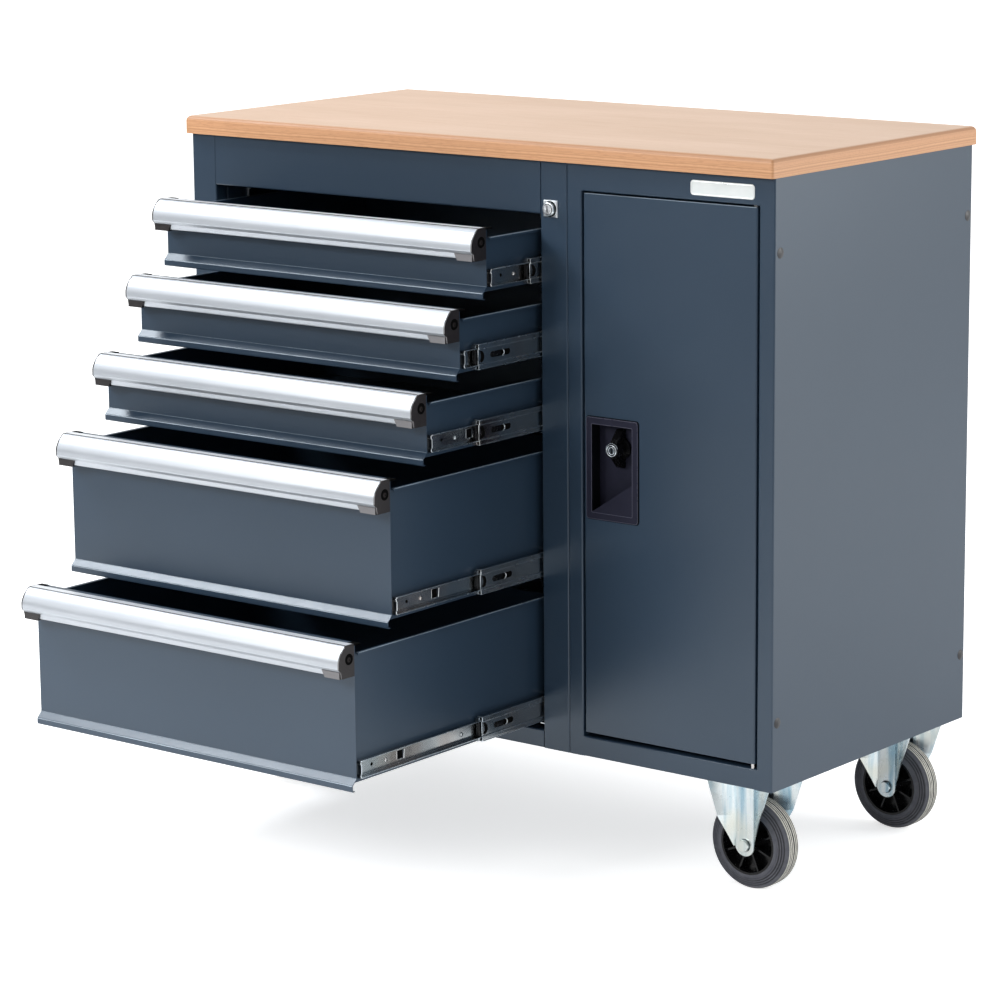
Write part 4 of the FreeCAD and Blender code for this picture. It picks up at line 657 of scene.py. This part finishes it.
# Intermediate members. The front is that of the member's web, behind its ball cage.
CAGE_FRONT = 6.0
SECTION_AT = 0.1
SECTION = [(9.8, 16.6), (2.4, 16.6), (2.1, 16.2), (2.1, 10.8), (3.3, 9.4)]
LONG_EDGES = ((10.3, 1.75), (16.5, 1.85))
LONG_EDGE_STOPS = (1.0, 180.0, 358.0)
CAGE_PARTS = (  # retainer, its tongue, lever, its thumb rest: outline, then two heights
    (rounded(-4.3, -0.6, -9.6, 9.6, 1.6), 4.8, 9.6),
    (rounded(-4.7, -2.0, -4.2, 4.2, 1.2), 5.6, 8.6),
    (rounded(26.2, 47.0, -3.5, 3.5, 1.4), 2.9, 4.6),
    (rounded(31.0, 42.0, -1.6, 1.9, 1.2), 2.1, 3.0),
)
# Painted shade: a matt black crescent behind the retainer and a matt black backing in the slot behind the
# lever.
CAGE_SHADES = (  # crescent behind the retainer, slot behind the lever
    (arc(2.6, 0.0, 8.2, -68, 68, 12) + arc(-2.6, 0.0, 9.2, 52, -52, 12), 1.5, 2.75),
    (rounded(24.0, 68.0, -4.6, 4.6, 2.0), 4.4, 5.0),
)
LEVER_RING = arc(50.0, 0.0, 3.9, -75, 75, 10)
LEVER_RING_HEIGHT = 2.5


def mid_member_trim(n):
    """Beads of painted highlight along the edges, plastic parts, and matt black pieces of painted shade,
    of a drawer's intermediate slide members.
    """
    _, bottom, _ = drawer_places(n)
    low, _ = in_mm(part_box(f"mid_slides_{n}"))
    highlight_beads, plastics, darks = (bmesh.new() for _ in range(3))
    for side in SLIDE_MOUNTS:
        spot = slide_place(side, low[1] + CAGE_FRONT, bottom + SLIDE_CENTRE)
        section = SECTION + [(w, -v) for w, v in SECTION[::-1]]
        # Beads of painted highlight along the member's front section, its long edges and round the lever.
        tube(highlight_beads, [spot(SECTION_AT, v, w) for w, v in section], 0.55)
        for sign in (-1, 1):
            for v, w in LONG_EDGES:
                bead(highlight_beads, [(u, sign * v) for u in LONG_EDGE_STOPS], w, 0.6, spot)
        for part in CAGE_PARTS:
            slab(plastics, *part, spot)
        # Painted shade behind the retainer and the lever.
        for part in CAGE_SHADES:
            slab(darks, *part, spot)
        bead(highlight_beads, LEVER_RING, LEVER_RING_HEIGHT, 0.75, spot)
    build(f"mid_edges_{n}", highlight_beads, f"slide_mid_{n}", "zinc_steel", HIGHLIGHT_ZINC)
    build(f"slide_plastics_{n}", plastics, f"slide_mid_{n}", "black_plastic", GLOSS_BLACK, bevel=0.5)
    build(f"slide_darks_{n}", darks, f"slide_mid_{n}", "black_plastic", MATT_BLACK)


# Grip caps: the recess, from the drawer's face and top, and the heel, an outline of (back, up)
RECESS_OUT = 10.4
RECESS_BELOW = 16.8
RECESS = [(0.0, 0.08), (6.4, 0.08), (6.9, 0.35), (7.3, 0.3), (7.5, -0.4)]
CAP_SCREW = [(0.0, 0.15), (1.3, 0.15), (1.5, 0.75), (2.8, 0.6), (3.4, 0.1)]
CAP_SCREW_DROP = 0.4
HEEL = [(-0.5, -1.2), (12.4, -1.2), (12.4, 0.5), (10.0, 1.3), (-0.5, 1.5)]
HEEL_LENGTH = 11.0


def cap_recesses(n):
    """The round screw recess in each end cap of a grip: a flat matt black dish of painted shade, and its
    screw.
    """
    face, _, top = drawer_places(n)
    recess_shade, screws = bmesh.new(), bmesh.new()
    for side, x in DRAWER_ENDS.items():
        def spot(u, v, w):
            return (x + side * w, face - RECESS_OUT + u, top - RECESS_BELOW + v)
        # Painted shade: the recess is a flat matt black dish.
        lathe(recess_shade, RECESS, spot, 40)
        lathe(screws, CAP_SCREW, lambda u, v, w: spot(u, v - CAP_SCREW_DROP, w), 24)
    build(f"cap_recesses_{n}", recess_shade, f"drawer_{n}", "black_plastic", MATT_BLACK)
    build(f"cap_screws_{n}", screws, f"drawer_{n}", "black_plastic", SCREW_BLACK)


# Lines across a drawer: distance before its face, height from its bottom or top, distance from its
# ends, radius
LIP_EDGE = (7.6, -8.3, 0.6, 0.55)
FACE_FOLD = (-0.3, 0.3, 0.6, 0.5)
# The grip's two grooves, along which lines of painted shade run:
GRIP_TOP_GROOVE = (14.9, 1.8, 2.2, 0.5)
GRIP_LOW_GROOVE = (26.2, -30.1, 28.6, 0.5)
# Upper edge of its side walls: from its middle, below its top, and from and to behind its face
WALL_FROM_MIDDLE = 282.4
WALL_BELOW_TOP = 13.0
WALL_SPAN = (12.0, 418.0)


def bends(n):
    """The painted highlights along a drawer's bends, lines of painted shade along the grooves of its grip,
    and the heels of its caps.
    """
    face, bottom, top = drawer_places(n)
    bright, soft, dark, heels = (bmesh.new() for _ in range(4))

    def across(shape, level, out, height, inset, radius):
        ends = [(DRAWER_ENDS[side] - side * inset, face - out, level + height) for side in (-1, 1)]
        line(shape, *ends, radius)
    across(bright, bottom, *LIP_EDGE)
    across(soft, bottom, *FACE_FOLD)
    for side in (-1, 1):
        x = sum(DRAWER_ENDS.values()) / 2 + side * WALL_FROM_MIDDLE
        line(soft, *[(x, face + y, top - WALL_BELOW_TOP) for y in WALL_SPAN], 0.65)
    # Painted shade along the grip's grooves.
    across(dark, top, *GRIP_TOP_GROOVE)
    across(dark, top, *GRIP_LOW_GROOVE)
    build(f"lip_highlight_{n}", bright, f"drawer_{n}", "body_blue", BEND_BRIGHT)
    build(f"bend_highlights_{n}", soft, f"drawer_{n}", "body_blue", BEND_SOFT)
    build(f"grip_groove_shades_{n}", dark, f"drawer_{n}", "grip_aluminium", GRIP_GROOVE_SHADE)
    for side, x in DRAWER_ENDS.items():
        slab(heels, HEEL, 0.0, HEEL_LENGTH, lambda u, v, w: (x - side * w, face + u, top + v))
    build(f"cap_heels_{n}", heels, f"drawer_{n}", "black_plastic", MATT_BLACK)


# Front of the cabinet. Plates are (left, right, low, high, corner).

CABINET_FRONT = -33.05
ON_FRONT = front_place(0.0, CABINET_FRONT, 0.0)
FRAME_SEAMS = (193.5, 476.0)
FILLET_HEIGHTS = ((155.3, 182.8), (921.7, 957.8))
FILLET_HALF = 3.0
PLATE = (369.3, 468.8, 928.4, 947.9, 4.5)
PLATE_BORDER = (370.9, 467.2, 930.0, 946.3, 3.4)
PLATE_THICKNESS = 0.5


def door_dressing():
    """A painted highlight along the door's top edge, and the ground weld fillets of its frame."""
    (left, _, _), (right, _, top) = in_mm(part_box("door_panel"))
    edge, fillets = bmesh.new(), bmesh.new()
    line(edge, *[(x, CABINET_FRONT + 0.4, top - 0.3) for x in (left + 1.5, right - 1.5)], 0.6)
    build("door_edge_highlight", edge, "door", "body_blue", BEND_SOFT)
    for seam in FRAME_SEAMS:
        left, right = seam - FILLET_HALF, seam + FILLET_HALF
        for low, high in FILLET_HEIGHTS:
            slab(fillets, [(left, low), (right, low), (right, high), (left, high)], -0.5, 0.03, ON_FRONT)
    build("frame_fillets", fillets, "cabinet", "body_blue", COAT)


def blank_plate():
    """The plate over the door, with nothing on it, and its raised border."""
    plate, border = bmesh.new(), bmesh.new()
    slab(plate, rounded(*PLATE), 0.0, PLATE_THICKNESS, ON_FRONT)
    build("blank_plate", plate, "cabinet", "grip_aluminium", enamel(), bevel=0.2)
    bead(border, rounded(*PLATE_BORDER), PLATE_THICKNESS, 0.35, ON_FRONT, closed=True)
    build("plate_border", border, "cabinet", "grip_aluminium", BRIGHT_ZINC)


# Beads round the tray: distance inside its box, and corner
# The edge beads are painted highlights.
TRAY_HIGHLIGHTS = ((0.7, 3.6), (9.1, 1.6))
# A matt black bead just outside the tray, as painted shadow.
TRAY_SHADOW_BEAD = (-0.4, 4.4)


def tray_dressing():
    """Beads of painted highlight along the tray's edges, and a matt black bead of painted shadow round it.
    """
    low, high = in_mm(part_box("door_tray"))

    def outline(inset, corner):
        return rounded(low[0] + inset, high[0] - inset, low[2] + inset, high[2] - inset, corner)
    highlight_beads, shadow_bead = bmesh.new(), bmesh.new()
    for edge in TRAY_HIGHLIGHTS:
        bead(highlight_beads, outline(*edge), -0.15, 0.42, front_place(0.0, low[1], 0.0), closed=True)
    # Painted shadow: a matt black bead round the tray.
    bead(shadow_bead, outline(*TRAY_SHADOW_BEAD), 0.1, 0.6, ON_FRONT, closed=True)
    build("tray_edges", highlight_beads, "door", "black_plastic", TRAY_RIM_HIGHLIGHT)
    build("tray_gasket", shadow_bead, "door", "black_plastic", MATT_BLACK)


# Locks, about the axis of each: circles for beads, (inner, outer) for flat rings, keyway outlines
KEY_RINGS = ((7.4, 0.55), (4.7, 0.4))
KEY_DARK = (5.6, 6.6)
KEY_SLOT = rounded(-0.8, 0.8, -3.9, 3.9, 0.5, 3)
COLLAR_HIGHLIGHT_ARC = arc(0, 0, 9.8, 20, 200, 24)
LOCK_FOOT_DARK = (9.05, 10.6)
LOCK_FOOT_BEHIND = 5.0
LOCK_FACE_DARK = (6.6, 7.2)
LOCK_SLOT = rounded(-0.9, 0.9, -4.4, 4.4, 0.6, 3)
INLAY = 0.06
SLOT_DEPTH = 3.0


def lock_dressing():
    """Rings and keyways of the two locks: a bead of painted highlight on the knob's collar, matt black
    liners of painted shade in the keyways, and a matt black ring of painted shadow round the barrel's
    foot.
    """
    bright, dark, collar_highlight, shadow, keyway = (bmesh.new() for _ in range(5))
    x, z, front = middle_and_front(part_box("door_key_cylinder"))
    key = front_place(x, front, z)
    for radius, thickness in KEY_RINGS:
        bead(bright, arc(0, 0, radius, 0, 350, 35), 0.0, thickness, key, closed=True)
    flat_ring(dark, *KEY_DARK, INLAY, key)
    # Painted shade: a matt black liner in the key's slot.
    slab(dark, KEY_SLOT, -SLOT_DEPTH, INLAY, key)
    _, _, front = middle_and_front(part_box("door_knob"))
    # Painted highlight: a bead along the upper arc of the knob's collar.
    bead(collar_highlight, COLLAR_HIGHLIGHT_ARC, 0.0, 0.35, front_place(x, front, z))
    build("key_rings", bright, "door_key", "chrome", BRIGHT_ZINC)
    build("key_darks", dark, "door_key", "black_plastic", MATT_BLACK)
    build("collar_ring", collar_highlight, "door_knob", "chrome", HIGHLIGHT_ZINC)
    x, z, front = middle_and_front(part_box("lock_body"))
    # Painted shadow: a matt black ring round the foot of the barrel.
    flat_ring(shadow, *LOCK_FOOT_DARK, 0.15, front_place(x, front + LOCK_FOOT_BEHIND, z))
    flat_ring(shadow, *LOCK_FACE_DARK, INLAY, front_place(x, front, z))
    build("lock_shadows", shadow, "cabinet", "black_plastic", MATT_BLACK)
    _, _, front = middle_and_front(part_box("lock_plug"))
    # Painted shade: a matt black liner in the lock's keyway.
    slab(keyway, LOCK_SLOT, -SLOT_DEPTH, INLAY, front_place(x, front, z))
    build("lock_keyway", keyway, "lock_plug", "black_plastic", MATT_BLACK)


CLIP = [(31.0, 861.5), (33.4, 861.5), (33.4, 873.5), (38.0, 874.8), (38.0, 877.0), (31.0, 876.0)]
CLIP_WIDTH = 3.2


def upright_clip():
    """A small plated clip on the left slide upright, seen over the top drawer."""
    shape = bmesh.new()
    slab(shape, CLIP, 0.0, CLIP_WIDTH, lambda u, v, w: (SLIDE_MOUNTS[-1] + w, u, v))
    build("upright_clip", shape, "cabinet", "zinc_steel", BRIGHT_ZINC, bevel=0.4)


# Wheels: x and y of the middle, and the axis that they turn about
WHEELS = {
    "right_front": (431.0, 30.95, "Y"), "right_rear": (431.0, 378.95, "Y"),
    "left_front": (-431.0, 68.95, "X"), "left_rear": (-431.0, 340.95, "X"),
}
AXLE_Z = 62.5
FORK_OUTER = 24.8
AXLE_SHADOW_RING = (7.55, 9.0)
# Half a tyre's section, as (radius, distance from its middle)
TYRE_FOOT = [(42.0, 18.75), (43.0, 18.75), (43.6, 19.15), (44.6, 19.15), (45.2, 18.72), (46.5, 18.6)]
RIDGES_AT = (47.6, 50.8, 54.0, 57.2)
RIDGE = ((0.0, -0.45), (0.4, 0.25), (1.9, -0.35), (2.3, -1.3))
FLANK_SLOPE = 0.40
TYRE_SHOULDER = [(60.2, 12.0), (61.2, 11.2), (61.8, 10.4)]
TYRE_TREAD = [
    (62.3, 9.6), (62.4, 8.4), (60.7, 8.2), (60.7, 7.2), (62.5, 7.0), (62.5, 4.9), (60.7, 4.7),
    (60.7, 3.7), (62.5, 3.5), (62.5, 1.3), (60.7, 1.1), (60.7, 0.5),
]
TREAD_FROM = 61.9
GROOVES_TO = 57.3
RIDGE_PITCH = 3.2
RIDGE_WIDTH = 1.95


def wheel_place(name, along=lambda w: w):
    """A place function about a wheel's axle, with along(w) on the axle."""
    x, y, axis = WHEELS[name]
    if axis == "Y":
        return lambda u, v, w: (x + u, y + along(w), AXLE_Z + v)
    return lambda u, v, w: (x + along(w), y + u, AXLE_Z + v)


def tyre_profile():
    """A tyre's section: ridged flanks, rounded shoulders and grooved tread."""
    half = list(TYRE_FOOT)
    foot, width = TYRE_FOOT[-1]
    for radius in RIDGES_AT:
        offset = width - (radius - foot) * FLANK_SLOPE
        half += [(radius + out, offset + up) for out, up in RIDGE]
    half += TYRE_SHOULDER + TYRE_TREAD
    return half + [(radius, -offset) for radius, offset in half[::-1]]


def tyre_zone(radius):
    """Material of a tyre's face: 1 tread, 2 groove between two ridges of the flank, painted darker as
    painted shade, 0 the rest.
    """
    if radius > TREAD_FROM:
        return 1
    beyond = radius - RIDGES_AT[0]
    return 2 if beyond > 0.0 and radius < GROOVES_TO and beyond % RIDGE_PITCH > RIDGE_WIDTH else 0


def tyres():
    """Ridged tyres in place of the plain ones."""
    for name in WHEELS:
        shape = bmesh.new()
        lathe(shape, tyre_profile(), wheel_place(name), 144, True, tyre_zone)
        piece = build(
            f"ridged_tyre_{name}", shape, f"wheel_{name}", "tyre_rubber", RUBBER, TREAD, GROOVE, angle=24,
        )
        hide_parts(f"tyre_{name}")


def axle_shadow_rings():
    """A flat ring of shade-darkened zinc round each end of the axle bolts, as painted shadow."""
    for name, (_, _, axis) in WHEELS.items():
        shape = bmesh.new()
        for way in (-1, 1):
            # Painted shadow round the bolt heads.
            flat_ring(shape, *AXLE_SHADOW_RING, 0.12, wheel_place(name, lambda w: way * (FORK_OUTER + w)))
        body = "cabinet" if axis == "Y" else f"swivel_{name}"
        build(f"axle_shadow_rings_{name}", shape, body, "zinc_steel", SHADE_ZINC)


def add_pieces():
    for n in DRAWERS:
        drawer_member_trim(n)
        mid_member_trim(n)
        cap_recesses(n)
        bends(n)
    door_dressing()
    tray_dressing()
    lock_dressing()
    upright_clip()
    tyres()
    axle_shadow_rings()
    blank_plate()


# Stage and light. Lengths are in metres again.


def make_floor():
    """A pale floor that glows white to the camera, and is darker in front to other rays."""
    mesh = bpy.data.meshes.new("floor")
    size = FLOOR_HALF
    corners = [(-size, -size, 0), (size, -size, 0), (size, size, 0), (-size, size, 0)]
    mesh.from_pydata(corners, [], [(0, 1, 2, 3)])
    floor = bpy.data.objects.new("floor", mesh)
    bpy.context.scene.collection.objects.link(floor)
    m = Surface("floor")
    m.set(Base_Color=(0.9, 0.9, 0.9, 1.0), Roughness=0.7, Specular_IOR_Level=0.1)
    shown = m.both(m.shader.outputs["BSDF"], m.glow(FLOOR_GLOW))
    shade = m.span(m.axes(m.position())["Y"], *FLOOR_SHADE)
    dull = m.add("ShaderNodeBsdfDiffuse")
    m.link(shade, dull.inputs["Color"])
    mirrored = m.both(dull.outputs["BSDF"], m.glow(m.math("MULTIPLY", shade, GLOSSY_GLOW)))
    others = m.choose("Is Glossy Ray", dull.outputs["BSDF"], mirrored)
    m.link(m.choose("Is Camera Ray", others, shown), m.out.inputs["Surface"])
    mesh.materials.append(m.material)


def make_world():
    """White to the camera. Other rays see a studio that is brightest at the back on the right."""
    world = bpy.data.worlds.new("studio")
    world.use_nodes = True
    m = Nodes(world.node_tree)
    towards = m.add("ShaderNodeVectorMath", operation="DOT_PRODUCT")
    towards.inputs[1].default_value = BRIGHT_SIDE
    m.link(m.add("ShaderNodeTexCoord").outputs["Generated"], towards.inputs[0])
    level = m.span(towards.outputs["Value"], -0.9, 0.9, WORLD_FRONT, WORLD_BACK)

    def background(color, strength):
        node = m.add("ShaderNodeBackground")
        m.feed(node.inputs["Color"], color)
        m.feed(node.inputs["Strength"], strength)
        return node.outputs["Background"]
    seen = m.choose("Is Camera Ray", background(WORLD_COLOR, level), background(WHITE, 1.0))
    m.link(seen, m.add("ShaderNodeOutputWorld").inputs["Surface"])
    bpy.context.scene.world = world


def softbox(name, place, target, width, height, level, color):
    """An area lamp whose face shows at that level; its power follows from its size."""
    data = bpy.data.lights.new(name, "AREA")
    data.shape = "RECTANGLE"
    data.size = width
    data.size_y = height
    data.energy = level * width * height * math.pi
    data.color = color
    light = bpy.data.objects.new(name, data)
    light.location = place
    aim = Vector(target) - Vector(place)
    light.rotation_euler = aim.to_track_quat("-Z", "Y").to_euler()
    bpy.context.scene.collection.objects.link(light)


make_camera()
dress_cad_nodes()
add_pieces()
make_floor()
make_world()
for lamp in LAMPS:
    softbox(*lamp)
bpy.context.scene.view_settings.view_transform = "Standard"
